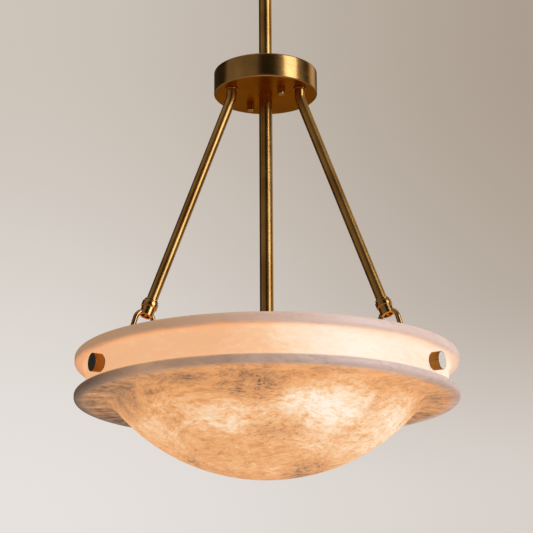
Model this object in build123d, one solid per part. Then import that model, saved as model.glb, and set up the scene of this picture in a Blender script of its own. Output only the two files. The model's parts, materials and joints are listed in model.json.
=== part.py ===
from build123d import *
import os
from math import asin, atan2, cos, degrees, radians, sin, sqrt

# Alabaster bowl pendant. Millimetres, +Z up. The origin is on the pendant's axis at the ceiling
# plane, and everything hangs below it. The front of the bowl is the -Y side.

# Stack heights on the axis, from the ceiling down
HUB_DROP = 315.0          # ceiling to the hub's top face
HUB_HEIGHT = 30.4
HUB_TO_LIP = 337.8        # hub underside to the top of the bowl's lip
ROD_BELOW_LIP = 13.6      # how far the centre rod reaches below the lip

# Directions of the three arms round the axis, in degrees from +X
ARM_ANGLES = {"left": -150.0, "right": -30.0, "back": 90.0}
# Directions of the three lamps
LAMP_ANGLES = (-50.0, 70.0, 190.0)

# General fits
FIT_GAP = 0.05            # radial gap of a piece fixed in a hole
RUNNING_GAP = 0.05        # radial gap of a turning pin
CLEARANCE = 0.2           # radial gap of a screw or a yoke in a plain hole
TINY = 0.01               # keeps two bedded faces just apart
THROUGH = 1.0             # how far a cutter runs past a face
THREAD_CLEAR = 0.5        # left free at the end of a blind hole
EDGE_BREAK = 0.5          # chamfer on turned edges
SCREW_CHAMFER = 0.3
NUT_DOME_SHARE = 0.85     # a cap nut's end radius, as a share of the nut's radius

# Ceiling fixing
CROSSBAR_LENGTH = 116.0
CROSSBAR_WIDTH = 20.0
CROSSBAR_THICK = 2.5
BOX_SLOT_SPACING = 88.9
BOX_SLOT_LENGTH = 11.0
BOX_SLOT_WIDTH = 4.8
NIPPLE_RADIUS = 5.0
NIPPLE_BORE = 3.4
NIPPLE_LENGTH = 11.0
NIPPLE_NUT_FLATS = 17.0
NIPPLE_NUT_THICK = 3.5

# Canopy and its two screws
CANOPY_RADIUS = 65.0
CANOPY_HEIGHT = 34.0
CANOPY_FLOOR_RADIUS = 42.0
CANOPY_WALL = 1.2
CANOPY_HOLE_RADIUS = 22.0
CANOPY_SCREW_SPACING = 70.0
CANOPY_SCREW_RADIUS = 2.0
CAP_NUT_RADIUS = 5.0
CAP_NUT_HEIGHT = 9.0
CAP_NUT_BORE_DEPTH = 5.5

# Hang-straight swivel: two crossed pins, one below the other
YOKE_RADIUS = 11.0
YOKE_BASE = 6.0           # solid part of the upper yoke
EAR_THICK = 4.0
EAR_WIDTH = 11.6
BLOCK_WIDTH = 10.0
BLOCK_SIDE_GAP = 0.3      # each side, between the block and an ear
BLOCK_END_GAP = 1.0       # above and below the block
PIN_SPACING = 12.0
PIN_RADIUS = 2.5
PIN_HEAD_RADIUS = 4.0
PIN_HEAD_THICK = 1.3
STEM_SOCKET_DEPTH = 10.0
WIRE_HOLE_RADIUS = 2.0    # two wire holes in the lower yoke, beside the block
WIRE_HOLE_SPACING = 11.0

# Tubes
STEM_RADIUS = 8.0
ROD_RADIUS = 8.2          # the rod below the hub
STEM_WALL = 1.6
ARM_RADIUS = 6.35
ARM_WALL = 1.6
ARM_BEND_RADIUS = 30.0

# Bell-shaped collar under the canopy
COLLAR_COVER = 4.5        # collar's rim past the edge of the canopy's hole
COLLAR_RIM = 4.0
COLLAR_NECK_RADIUS = 12.0
COLLAR_NECK_HEIGHT = 8.0
COLLAR_GAP = 5.0          # canopy floor to the collar's rim, so that it can tilt
COLLAR_DROOP = 0.1        # slope of the bell where it leaves its rim
SET_SCREW_RADIUS = 1.5
SET_SCREW_HEAD_RADIUS = 2.5
SET_SCREW_HEAD_THICK = 1.4

# Hub
HUB_RADIUS = 64.5
HUB_SHELL_WALL = 1.5
HUB_TOP_ROUND = 2.0
HUB_PLATE_THICK = 2.7
HUB_CHAMFER = 1.2
COUPLING_RADIUS = 12.0
COUPLING_RIB = 1.2
LOCK_RING_RADIUS = 12.5
LOCK_RING_HEIGHT = 5.0
LOCK_RING_CHAMFER = 0.8
ARM_CIRCLE_RADIUS = 48.8
ARM_STUB = 13.4           # hub underside to the corner of the arm's bend
ARM_COLLAR_WALL = 1.45
ARM_COLLAR_THICK = 2.0
ARM_NUT_FLATS = 19.0
ARM_NUT_THICK = 4.5
ARM_NUT_SPARE = 1.0       # arm's end above its nut
HUB_STUD_CIRCLE = 33.3
HUB_STUD_ANGLES = (125.2, -54.8)
HUB_STUD_RADIUS = 2.5
HUB_NUT_RADIUS = 4.65
HUB_NUT_HEIGHT = 10.0
HUB_NUT_BORE_DEPTH = 6.0

# Socket on each arm's tip, with the eye that the link hangs from
TIP_RADIUS_FROM_AXIS = 161.8
TIP_ABOVE_LIP = 32.4
TIP_LENGTH = 20.8
TIP_CUP_WALL = 1.85        # the walls are taken from the arm's outside
TIP_CUP_LENGTH = 11.0
TIP_STEP = 0.55           # the cup's bore inside the arm's outside, where the arm seats
TIP_BAND_WALL = 3.15
TIP_BAND_LENGTH = 6.6
TIP_GROOVE_WALL = 1.15
TIP_GROOVE_LENGTH = 1.2
TIP_BEAD_WALL = 1.85
EYE_HEIGHT = 5.4          # cup's mouth to the eye's centre
EYE_PLAY = 0.5            # link's bar in the eye's hole
EYE_WALL = 1.5
EYE_THICK = 3.5
EYE_PLUG_LENGTH = 12.0
EYE_PLUG_CHAMFER = 0.8
SLOT_BELOW_EYE = 1.0      # the leg slots' round ends, below the eye's centre
TIP_HEAD_SINK = 0.5       # the screw's head, sunk in the band
CUP_SHOULDER = 0.5        # arm's end above the top of the cup

# Links between the arms and the bowl
LINK_BAR_RADIUS = 3.0
LINK_BEND_RADIUS = 11.5
LINK_FOOT_RADIUS = 180.3  # middle of the link's two feet, from the axis
LINK_FOOT_PLAY = 0.8      # bolt in the foot's bore
LINK_FOOT_WALL = 2.8
LINK_FOOT_THICK = 4.5
LINK_SLOT_GAP = 1.0       # play of the link's legs in the cup's slots

# Bowl
BOWL_RADIUS = 228.6       # lip and flange, 457.2 across
LIP_THICK = 12.8
BAND_HEIGHT = 32.3
BAND_RADIUS = 215.6
FLANGE_THICK = 10.5
DISH_DEPTH = 87.6         # flange underside to the bowl's lowest point
DISH_SPHERE_RADIUS = 239.0
DISH_MOUTH_RADIUS = 183.8
DISH_TURN_RADIUS = 176.9  # where the sphere runs into the steeper shoulder
BOWL_WALL = 12.0
LEDGE_THICK = 10.0
EDGE_ROUND = 4.2
INNER_LIP_ROUND = 2.1
COVE_ROUND = 5.0
DISH_COVE_ROUND = 18.0    # where the dish flares into the flange's underside
INNER_ROUND = 7.0

# Bolts and knobs through the band
BOLT_RADIUS = 3.0
BOLT_HOLE_GAP = 1.0       # bolt in the stone
KNOB_RADIUS = 10.65
KNOB_LENGTH = 11.2
KNOB_BORE_DEPTH = 7.0
PAD_INSET = 1.65          # pad's edge inside the knob's
PAD_THICK = 1.2
PAD_BED = 0.5             # trimmed off a pad so that it follows the curved wall
WASHER_THICK = 1.2
BOLT_NUT_FLATS = 10.0
BOLT_NUT_THICK = 4.0
END_NUT_GAP = 4.0
BOLT_SPARE = 1.0          # bolt's end past its last nut
BOLT_CHAMFER = 0.4

# Lamp cluster inside the bowl
CLUSTER_RADIUS = 30.0
CLUSTER_HEIGHT = 28.0
CLUSTER_WALL = 3.0
CLUSTER_ROUND = 6.0
ROD_IN_CLUSTER = 6.0
BOSS_SINK = 0.2           # how far the holder's boss is let into the cup
COVER_THICK = 2.0
COVER_CENTRE_RADIUS = 4.0
COVER_CHAMFER = 0.6
COVER_STUD_UP = 6.0
FINIAL_RADIUS = 7.0
FINIAL_HEIGHT = 9.0
HOLDER_RADIUS = 14.0
HOLDER_LENGTH = 36.0
HOLDER_WALL = 3.0
HOLDER_BOSS_RADIUS = 7.0
HOLDER_STEM_RADIUS = 5.0
HOLDER_WIRE_BORE = 2.5
HOLDER_FLOOR = 6.0
HOLDER_STEP = 8.0         # depth of the narrow part round the cap's foot
HOLDER_CHAMFER = 0.8
HOLDER_STANDOFF = 0.8     # cup of the holder to the cluster
HOLDER_STEM_IN = 2.0      # stem's end inside the cluster's wall
BULB_CAP_RADIUS = 6.9
BULB_CAP_LENGTH = 23.0
BULB_CONTACT_LENGTH = 2.0
BULB_CONTACT_RADIUS = 3.0
BULB_CAP_GAP = 0.3
BULB_CAP_CHAMFER = 1.5
BULB_NECK_INSET = 0.2
BULB_JOINT_ANGLE = 52.0   # where the globe runs into its neck
BULB_RADIUS = 22.5
BULB_LENGTH = 52.0
BULB_GLASS = 1.0

# Heights worked out from the sizes above
HUB_TOP = -HUB_DROP
HUB_BOTTOM = HUB_TOP - HUB_HEIGHT
PLATE_TOP = HUB_BOTTOM + HUB_PLATE_THICK
LIP_TOP = HUB_BOTTOM - HUB_TO_LIP
LIP_BOTTOM = LIP_TOP - LIP_THICK
FLANGE_TOP = LIP_BOTTOM - BAND_HEIGHT
FLANGE_BOTTOM = FLANGE_TOP - FLANGE_THICK
BOWL_BOTTOM = FLANGE_BOTTOM - DISH_DEPTH
BOLT_Z = LIP_BOTTOM - BAND_HEIGHT / 2
BAND_INNER = BAND_RADIUS - BOWL_WALL
ROD_BOTTOM = LIP_TOP - ROD_BELOW_LIP
JOIN_Z = (HUB_TOP + PLATE_TOP) / 2    # where the stem and the rod meet in the coupling

NIPPLE_NUT_BOTTOM = -CROSSBAR_THICK - NIPPLE_NUT_THICK
YOKE_SLOT_TOP = NIPPLE_NUT_BOTTOM - YOKE_BASE
UPPER_PIN_Z = YOKE_SLOT_TOP - BLOCK_END_GAP - BLOCK_WIDTH / 2
LOWER_PIN_Z = UPPER_PIN_Z - PIN_SPACING
LOWER_YOKE_TOP = LOWER_PIN_Z - BLOCK_WIDTH / 2 - BLOCK_END_GAP
STEM_TOP = LOWER_YOKE_TOP - BLOCK_END_GAP * 2
YOKE_BOTTOM = STEM_TOP - STEM_SOCKET_DEPTH
EAR_INNER = BLOCK_WIDTH / 2 + BLOCK_SIDE_GAP
EAR_OUTER = EAR_INNER + EAR_THICK

# Radii of what fits round or in another piece
COLLAR_RADIUS = CANOPY_HOLE_RADIUS + COLLAR_COVER
ARM_COLLAR_RADIUS = ARM_RADIUS + ARM_COLLAR_WALL
TIP_CUP_RADIUS = ARM_RADIUS + TIP_CUP_WALL
TIP_CUP_BORE = ARM_RADIUS - TIP_STEP
TIP_BAND_RADIUS = ARM_RADIUS + TIP_BAND_WALL
TIP_GROOVE_RADIUS = ARM_RADIUS + TIP_GROOVE_WALL
TIP_BEAD_RADIUS = ARM_RADIUS + TIP_BEAD_WALL
EYE_HOLE_RADIUS = LINK_BAR_RADIUS + EYE_PLAY
EYE_RADIUS = EYE_HOLE_RADIUS + EYE_WALL
LINK_FOOT_BORE = BOLT_RADIUS + LINK_FOOT_PLAY
LINK_FOOT_OUTER = LINK_FOOT_BORE + LINK_FOOT_WALL
BOLT_HOLE_RADIUS = BOLT_RADIUS + BOLT_HOLE_GAP
PAD_RADIUS = KNOB_RADIUS - PAD_INSET

# The arm's slope, and the frame at the cup's mouth: X outward, Z back up the arm
ARM_CORNER_Z = HUB_BOTTOM - ARM_STUB
TIP_Z = LIP_TOP + TIP_ABOVE_LIP
ARM_SLOPE = atan2(TIP_RADIUS_FROM_AXIS - ARM_CIRCLE_RADIUS, ARM_CORNER_Z - TIP_Z)
TIP_FRAME = Pos(TIP_RADIUS_FROM_AXIS, 0, TIP_Z) * Rot(0, -degrees(ARM_SLOPE), 0)
ARM_END = TIP_CUP_LENGTH + CUP_SHOULDER

# The link's slope, and its frame: origin at the eye's centre, Z back up the link
EYE_R = TIP_RADIUS_FROM_AXIS - EYE_HEIGHT * sin(ARM_SLOPE)
EYE_Z = TIP_Z + EYE_HEIGHT * cos(ARM_SLOPE)
LINK_SLOPE = atan2(LINK_FOOT_RADIUS - EYE_R, EYE_Z - BOLT_Z)
LINK_FRAME = Pos(EYE_R, 0, EYE_Z) * Rot(0, -degrees(LINK_SLOPE), 0)

# Places along a bolt, as distances from the axis
PAD_IN = BAND_INNER - PAD_THICK
WASHER_IN = PAD_IN - WASHER_THICK
CLAMP_NUT_IN = WASHER_IN - BOLT_NUT_THICK
KNOB_IN = BAND_RADIUS + PAD_THICK
KNOB_OUT = KNOB_IN + KNOB_LENGTH
FOOT_INNER_R = LINK_FOOT_RADIUS - LINK_BEND_RADIUS / cos(LINK_SLOPE)
END_NUT_OUT = FOOT_INNER_R - LINK_FOOT_THICK / 2 - END_NUT_GAP
BOLT_IN = END_NUT_OUT - BOLT_NUT_THICK - BOLT_SPARE
BOLT_OUT = KNOB_IN + KNOB_BORE_DEPTH - THREAD_CLEAR

# The screw in a tip socket's band, in the frame of the cup's mouth
TIP_SCREW_HEIGHT = TIP_CUP_LENGTH + TIP_BAND_LENGTH / 2
TIP_SCREW_SEAT = TIP_BAND_RADIUS - TIP_HEAD_SINK

# Lamp cluster, and places along a lamp holder as distances from the axis
CLUSTER_TOP = ROD_BOTTOM + ROD_IN_CLUSTER
CLUSTER_FLOOR = CLUSTER_TOP - CLUSTER_HEIGHT
LAMP_Z = CLUSTER_TOP - CLUSTER_HEIGHT / 2
BOSS_SEAT = sqrt(CLUSTER_RADIUS**2 - HOLDER_BOSS_RADIUS**2) - BOSS_SINK
HOLDER_IN = CLUSTER_RADIUS + HOLDER_STANDOFF
HOLDER_OUT = HOLDER_IN + HOLDER_LENGTH
CAP_IN = HOLDER_IN + HOLDER_FLOOR
CAP_OUT = CAP_IN + BULB_CONTACT_LENGTH + BULB_CAP_LENGTH


def save(name, shape):
    """Writes one piece, or one group of like pieces, as its own STEP file."""
    export_step(shape, os.path.join("parts", name + ".step"))


def turned(points):
    """Solid of revolution about Z from an outline of (radius, z) corners."""
    outline = Polyline(*[(r, 0, z) for r, z in points], close=True)
    return revolve(make_face(outline), Axis.Z)


def ring(outer, inner, bottom, top):
    """Plain ring or washer about Z."""
    body = Pos(0, 0, bottom) * extrude(Circle(outer), top - bottom)
    hole = Pos(0, 0, bottom - THROUGH) * extrude(Circle(inner), top - bottom + 2 * THROUGH)
    return body - hole


def disc(radius, bottom, top):
    """Plain cylinder about Z."""
    return Pos(0, 0, bottom) * extrude(Circle(radius), top - bottom)


def hex_nut(flats, inner, bottom, top):
    """Hexagonal nut about Z with its outer corners broken."""
    across = flats / sqrt(3)
    body = Pos(0, 0, bottom) * extrude(RegularPolygon(across, 6), top - bottom)
    broken = chamfer(disc(across, bottom, top).edges(), min(EDGE_BREAK, (top - bottom) / 4))
    return (body & broken) - disc(inner, bottom - THROUGH, top + THROUGH)


def domed_nut(radius, height, bore, depth):
    """Round cap nut about Z, seated at z = 0 and hanging down to z = -height."""
    body = disc(radius, -height, 0)
    body = fillet(body.edges().group_by(Axis.Z)[0], NUT_DOME_SHARE * radius)
    return body - disc(bore, -depth, THROUGH)


def spun(shape, angle):
    """The same piece turned round the pendant's axis."""
    return Rot(0, 0, angle) * shape


def radial(shape, z=0.0):
    """Lays a piece built along Z out along +X, at height z."""
    return Pos(0, 0, z) * Rot(0, 90, 0) * shape


# --- ceiling fixing ---------------------------------------------------------------------------

def make_crossbar():
    """Flat strap with two slots for the ceiling box and tapped holes for nipple and screws."""
    bar = Pos(0, 0, -CROSSBAR_THICK) * extrude(
        SlotOverall(CROSSBAR_LENGTH, CROSSBAR_WIDTH), CROSSBAR_THICK
    )
    cutter = SlotOverall(BOX_SLOT_LENGTH, BOX_SLOT_WIDTH)
    low = -CROSSBAR_THICK - THROUGH
    for side in (-1, 1):
        slot_place = Pos(side * BOX_SLOT_SPACING / 2, 0, low)
        bar -= slot_place * extrude(cutter, THROUGH - low)
        screw_place = Pos(side * CANOPY_SCREW_SPACING / 2, 0, 0)
        bar -= screw_place * disc(CANOPY_SCREW_RADIUS + FIT_GAP, low, THROUGH)
    return bar - disc(NIPPLE_RADIUS + FIT_GAP, low, THROUGH)


def make_nipple():
    """Short threaded tube that carries the swivel from the crossbar."""
    return ring(NIPPLE_RADIUS, NIPPLE_BORE, -NIPPLE_LENGTH, 0)


def make_nipple_nut():
    """Lock nut under the crossbar."""
    return hex_nut(NIPPLE_NUT_FLATS, NIPPLE_RADIUS + FIT_GAP, NIPPLE_NUT_BOTTOM, -CROSSBAR_THICK)


def make_ears(pin_z, reach):
    """Two ears either side of the block, across X, from a height `reach` to round a pin."""
    low, high = sorted((pin_z, reach))
    ears = []
    for side in (-1, 1):
        middle = side * (EAR_INNER + EAR_OUTER) / 2
        slab = Pos(middle, 0, (low + high) / 2) * Box(EAR_THICK, EAR_WIDTH, high - low)
        end = Pos(middle, 0, pin_z) * Rot(0, 90, 0) * Cylinder(EAR_WIDTH / 2, EAR_THICK)
        ears.append(slab + end)
    return ears[0] + ears[1]


def pin_hole(pin_z, radius):
    """Cutter for a pin hole along X."""
    return Pos(0, 0, pin_z) * Rot(0, 90, 0) * Cylinder(radius, 4 * YOKE_RADIUS)


def make_upper_yoke():
    """Fork that hangs from the nipple; its pin lies along X."""
    base = disc(YOKE_RADIUS, YOKE_SLOT_TOP, NIPPLE_NUT_BOTTOM)
    yoke = base + make_ears(UPPER_PIN_Z, YOKE_SLOT_TOP)
    yoke -= pin_hole(UPPER_PIN_Z, PIN_RADIUS + TINY)
    yoke -= disc(NIPPLE_BORE, YOKE_SLOT_TOP - THROUGH, 0)
    return yoke - disc(NIPPLE_RADIUS + FIT_GAP, -NIPPLE_LENGTH, 0)


def make_block():
    """Swivel block: its top turns on the upper pin along X, its foot on the lower pin along Y."""
    middle = Pos(0, 0, (UPPER_PIN_Z + LOWER_PIN_Z) / 2)
    block = middle * Box(BLOCK_WIDTH, BLOCK_WIDTH, PIN_SPACING)
    block += Pos(0, 0, UPPER_PIN_Z) * Rot(0, 90, 0) * Cylinder(BLOCK_WIDTH / 2, BLOCK_WIDTH)
    block += Pos(0, 0, LOWER_PIN_Z) * Rot(90, 0, 0) * Cylinder(BLOCK_WIDTH / 2, BLOCK_WIDTH)
    block -= pin_hole(UPPER_PIN_Z, PIN_RADIUS + RUNNING_GAP)
    return block - spun(pin_hole(LOWER_PIN_Z, PIN_RADIUS + RUNNING_GAP), 90)


def make_pin(pin_z):
    """Riveted pin along X with a head at each ear."""
    pin = Cylinder(PIN_RADIUS, 2 * EAR_OUTER)
    for side in (-1, 1):
        head = Cylinder(PIN_HEAD_RADIUS, PIN_HEAD_THICK)
        head = chamfer(head.edges(), PIN_HEAD_THICK / 4)
        pin += Pos(0, 0, side * (EAR_OUTER + PIN_HEAD_THICK / 2)) * head
    return radial(pin, pin_z)


def make_lower_yoke():
    """Fork on the stem's top; its pin lies along Y."""
    base = disc(YOKE_RADIUS, YOKE_BOTTOM, LOWER_YOKE_TOP)
    yoke = base + spun(make_ears(LOWER_PIN_Z, LOWER_YOKE_TOP), 90)
    yoke -= spun(pin_hole(LOWER_PIN_Z, PIN_RADIUS + TINY), 90)
    wire_hole = disc(WIRE_HOLE_RADIUS, STEM_TOP - THROUGH, LOWER_YOKE_TOP + THROUGH)
    for side in (-1, 1):
        yoke -= Pos(side * WIRE_HOLE_SPACING / 2, 0, 0) * wire_hole
    return yoke - disc(STEM_RADIUS + FIT_GAP, YOKE_BOTTOM - THROUGH, STEM_TOP)


def make_canopy():
    """Spun cup: straight rim at the ceiling, quarter-round shoulder, flat floor with a hole."""
    drop = CANOPY_HEIGHT
    across = CANOPY_RADIUS - CANOPY_FLOOR_RADIUS
    inner_r = CANOPY_RADIUS - CANOPY_WALL
    rim = drop - across
    outside = Line((CANOPY_RADIUS, 0, 0), (CANOPY_RADIUS, 0, -rim))
    shoulder = TangentArc(
        (CANOPY_RADIUS, 0, -rim), (CANOPY_FLOOR_RADIUS, 0, -drop), tangent=(0, 0, -1)
    )
    floor = Polyline(
        (CANOPY_FLOOR_RADIUS, 0, -drop),
        (CANOPY_HOLE_RADIUS, 0, -drop),
        (CANOPY_HOLE_RADIUS, 0, -drop + CANOPY_WALL),
        (CANOPY_FLOOR_RADIUS, 0, -drop + CANOPY_WALL),
    )
    inner = TangentArc(
        (inner_r, 0, -rim), (CANOPY_FLOOR_RADIUS, 0, -drop + CANOPY_WALL), tangent=(0, 0, -1)
    )
    inside = Polyline((inner_r, 0, -rim), (inner_r, 0, 0), (CANOPY_RADIUS, 0, 0))
    canopy = revolve(make_face(outside + shoulder + floor + inner + inside), Axis.Z)
    for side in (-1, 1):
        place = Pos(side * CANOPY_SCREW_SPACING / 2, 0, 0)
        canopy -= place * disc(CANOPY_SCREW_RADIUS + CLEARANCE, -drop - THROUGH, -rim)
    return canopy


def make_canopy_screws():
    """Two screws that hang from the crossbar through the canopy's floor."""
    bottom = -CANOPY_HEIGHT - CAP_NUT_BORE_DEPTH + THREAD_CLEAR
    screw = chamfer(disc(CANOPY_SCREW_RADIUS, bottom, 0).edges(), SCREW_CHAMFER)
    return [Pos(side * CANOPY_SCREW_SPACING / 2, 0, 0) * screw for side in (-1, 1)]


def make_canopy_nuts():
    """Two cap nuts that hold the canopy up."""
    nut = domed_nut(
        CAP_NUT_RADIUS, CAP_NUT_HEIGHT, CANOPY_SCREW_RADIUS + FIT_GAP, CAP_NUT_BORE_DEPTH
    )
    places = [Pos(side * CANOPY_SCREW_SPACING / 2, 0, -CANOPY_HEIGHT) for side in (-1, 1)]
    return [place * nut for place in places]


def make_collar():
    """Bell-shaped collar on the stem, hiding the hole in the canopy."""
    rim = -CANOPY_HEIGHT - COLLAR_GAP
    neck_top = YOKE_BOTTOM
    neck_bottom = neck_top - COLLAR_NECK_HEIGHT
    yoke_hole = YOKE_RADIUS + CLEARANCE
    bore = STEM_RADIUS + FIT_GAP
    edge = Polyline(
        (bore, 0, neck_bottom),
        (bore, 0, neck_top),
        (yoke_hole, 0, neck_top),
        (yoke_hole, 0, rim),
        (COLLAR_RADIUS, 0, rim),
        (COLLAR_RADIUS, 0, rim - COLLAR_RIM),
    )
    bell = TangentArc(
        (COLLAR_RADIUS, 0, rim - COLLAR_RIM), (COLLAR_NECK_RADIUS, 0, neck_bottom),
        tangent=(-1, 0, -COLLAR_DROOP),
    )
    foot = Line((COLLAR_NECK_RADIUS, 0, neck_bottom), (bore, 0, neck_bottom))
    collar = revolve(make_face(edge + bell + foot), Axis.Z)
    hole = Pos(0, 0, neck_top - COLLAR_NECK_HEIGHT / 2) * Rot(90, 0, 0)
    return collar - hole * disc(SET_SCREW_RADIUS + FIT_GAP, STEM_RADIUS, COLLAR_RADIUS)


def make_collar_screw():
    """Headless screw that pins the collar to the stem."""
    place = Pos(0, 0, YOKE_BOTTOM - COLLAR_NECK_HEIGHT / 2) * Rot(90, 0, 0)
    return place * disc(SET_SCREW_RADIUS, STEM_RADIUS + TINY, COLLAR_NECK_RADIUS)


# --- stem and hub -----------------------------------------------------------------------------

def make_stem():
    """Tube from the swivel to the coupling in the hub."""
    return ring(STEM_RADIUS, STEM_RADIUS - STEM_WALL, JOIN_Z + COUPLING_RIB / 2, STEM_TOP)


def make_centre_rod():
    """Tube from the coupling down to the lamps."""
    return ring(ROD_RADIUS, ROD_RADIUS - STEM_WALL, ROD_BOTTOM, JOIN_Z - COUPLING_RIB / 2)


def make_coupling():
    """Sleeve inside the hub that joins the stem and the rod and spaces shell from plate."""
    top = HUB_TOP - HUB_SHELL_WALL
    sleeve = disc(COUPLING_RADIUS, PLATE_TOP, top)
    sleeve -= disc(STEM_RADIUS + FIT_GAP, JOIN_Z + COUPLING_RIB / 2, top + THROUGH)
    sleeve -= disc(ROD_RADIUS + FIT_GAP, PLATE_TOP - THROUGH, JOIN_Z - COUPLING_RIB / 2)
    return sleeve - disc(STEM_RADIUS - STEM_WALL, PLATE_TOP, top)


def make_lock_ring():
    """Round nut that pulls the hub up against the coupling."""
    top = HUB_TOP + LOCK_RING_HEIGHT
    nut = chamfer(disc(LOCK_RING_RADIUS, HUB_TOP, top).edges(), LOCK_RING_CHAMFER)
    return nut - disc(STEM_RADIUS + FIT_GAP, HUB_TOP - THROUGH, top + THROUGH)


def make_hub_shell():
    """Drum: a flat top and a straight side in one piece, open below."""
    outer = disc(HUB_RADIUS, PLATE_TOP, HUB_TOP)
    outer = fillet(outer.edges().group_by(Axis.Z)[-1], HUB_TOP_ROUND)
    inner = disc(HUB_RADIUS - HUB_SHELL_WALL, PLATE_TOP - THROUGH, HUB_TOP - HUB_SHELL_WALL)
    return outer - inner - disc(STEM_RADIUS + FIT_GAP, PLATE_TOP, HUB_TOP + THROUGH)


def make_hub_plate():
    """Bottom disc of the hub with a bright chamfer and holes for rod, arms and studs."""
    plate = disc(HUB_RADIUS, HUB_BOTTOM, PLATE_TOP)
    plate = chamfer(plate.edges().group_by(Axis.Z)[0], HUB_CHAMFER)
    low = HUB_BOTTOM - THROUGH
    high = PLATE_TOP + THROUGH
    plate -= disc(ROD_RADIUS + FIT_GAP, low, high)
    arm_hole = disc(ARM_RADIUS + FIT_GAP, low, high)
    for angle in ARM_ANGLES.values():
        plate -= spun(Pos(ARM_CIRCLE_RADIUS, 0, 0) * arm_hole, angle)
    stud_hole = disc(HUB_STUD_RADIUS + FIT_GAP, low, high)
    for angle in HUB_STUD_ANGLES:
        plate -= spun(Pos(HUB_STUD_CIRCLE, 0, 0) * stud_hole, angle)
    return plate


def make_hub_studs():
    """Two studs fixed inside the drum's top that hold the plate."""
    bottom = HUB_BOTTOM - HUB_NUT_BORE_DEPTH + THREAD_CLEAR
    stud = disc(HUB_STUD_RADIUS, bottom, HUB_TOP - HUB_SHELL_WALL)
    return [spun(Pos(HUB_STUD_CIRCLE, 0, 0) * stud, angle) for angle in HUB_STUD_ANGLES]


def make_hub_nuts():
    """Two cap nuts under the plate."""
    nut = domed_nut(
        HUB_NUT_RADIUS, HUB_NUT_HEIGHT, HUB_STUD_RADIUS + FIT_GAP, HUB_NUT_BORE_DEPTH
    )
    place = Pos(HUB_STUD_CIRCLE, 0, HUB_BOTTOM)
    return [spun(place * nut, angle) for angle in HUB_STUD_ANGLES]


# --- arms -------------------------------------------------------------------------------------

def make_arm():
    """Bent tube in the XZ plane, from inside the hub to the shoulder in the tip socket."""
    top = PLATE_TOP + ARM_NUT_THICK + ARM_NUT_SPARE
    end = TIP_FRAME * Pos(0, 0, ARM_END)
    end_point = end.position
    route = FilletPolyline(
        (ARM_CIRCLE_RADIUS, 0, top),
        (ARM_CIRCLE_RADIUS, 0, ARM_CORNER_Z),
        (end_point.X, 0, end_point.Z),
        radius=ARM_BEND_RADIUS,
    )
    start = Plane(origin=(ARM_CIRCLE_RADIUS, 0, top), x_dir=(1, 0, 0), z_dir=(0, 0, -1))
    tube = sweep(start * Circle(ARM_RADIUS), path=route)
    tube -= sweep(start * Circle(ARM_RADIUS - ARM_WALL), path=route)
    return tube - TIP_FRAME * tip_screw_hole(SET_SCREW_RADIUS + FIT_GAP)


def make_arm_collar():
    """Thin seat ring between the plate and the arm."""
    seat = ring(
        ARM_COLLAR_RADIUS, ARM_RADIUS + FIT_GAP, HUB_BOTTOM - ARM_COLLAR_THICK, HUB_BOTTOM
    )
    return Pos(ARM_CIRCLE_RADIUS, 0, 0) * seat


def make_arm_nut():
    """Nut on the arm's end inside the hub."""
    nut = hex_nut(ARM_NUT_FLATS, ARM_RADIUS + FIT_GAP, PLATE_TOP, PLATE_TOP + ARM_NUT_THICK)
    return Pos(ARM_CIRCLE_RADIUS, 0, 0) * nut


# --- tip sockets, in the frame of the cup's mouth ---------------------------------------------

def tip_screw_hole(radius):
    """Cutter along +Y for the screw in the socket's band."""
    return Pos(0, 0, TIP_SCREW_HEIGHT) * Rot(-90, 0, 0) * disc(radius, 0, 3 * TIP_BAND_RADIUS)


def make_tip_socket():
    """Turned socket: bead, groove, wide band and a plain cup, slotted for the link's legs."""
    band_top = TIP_CUP_LENGTH + TIP_BAND_LENGTH
    groove_top = band_top + TIP_GROOVE_LENGTH
    bore = ARM_RADIUS + FIT_GAP
    edge = EDGE_BREAK
    socket = turned([
        (TIP_CUP_BORE, edge), (TIP_CUP_BORE + edge, 0), (TIP_CUP_RADIUS - edge, 0),
        (TIP_CUP_RADIUS, edge), (TIP_CUP_RADIUS, TIP_CUP_LENGTH),
        (TIP_BAND_RADIUS - edge, TIP_CUP_LENGTH), (TIP_BAND_RADIUS, TIP_CUP_LENGTH + edge),
        (TIP_BAND_RADIUS, band_top - edge), (TIP_BAND_RADIUS - edge, band_top),
        (TIP_GROOVE_RADIUS, band_top), (TIP_GROOVE_RADIUS, groove_top),
        (TIP_BEAD_RADIUS - edge, groove_top), (TIP_BEAD_RADIUS, groove_top + edge),
        (TIP_BEAD_RADIUS, TIP_LENGTH - edge), (TIP_BEAD_RADIUS - edge, TIP_LENGTH),
        (bore, TIP_LENGTH), (bore, ARM_END), (TIP_CUP_BORE, ARM_END),
    ])
    slot_radius = LINK_BAR_RADIUS + LINK_SLOT_GAP
    slot_round = EYE_HEIGHT - SLOT_BELOW_EYE
    round_end = Pos(0, 0, slot_round) * Rot(0, 90, 0) * Cylinder(slot_radius, 4 * TIP_CUP_RADIUS)
    open_height = slot_round + THROUGH
    open_part = Pos(0, 0, slot_round - open_height / 2) * Box(
        4 * TIP_CUP_RADIUS, 2 * slot_radius, open_height
    )
    socket -= round_end + open_part
    socket -= tip_screw_hole(SET_SCREW_RADIUS + FIT_GAP)
    seat = Pos(0, 0, TIP_SCREW_HEIGHT) * Rot(-90, 0, 0)
    head_hole = disc(SET_SCREW_HEAD_RADIUS + FIT_GAP, TIP_SCREW_SEAT, 2 * TIP_BAND_RADIUS)
    return socket - seat * head_hole


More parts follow.
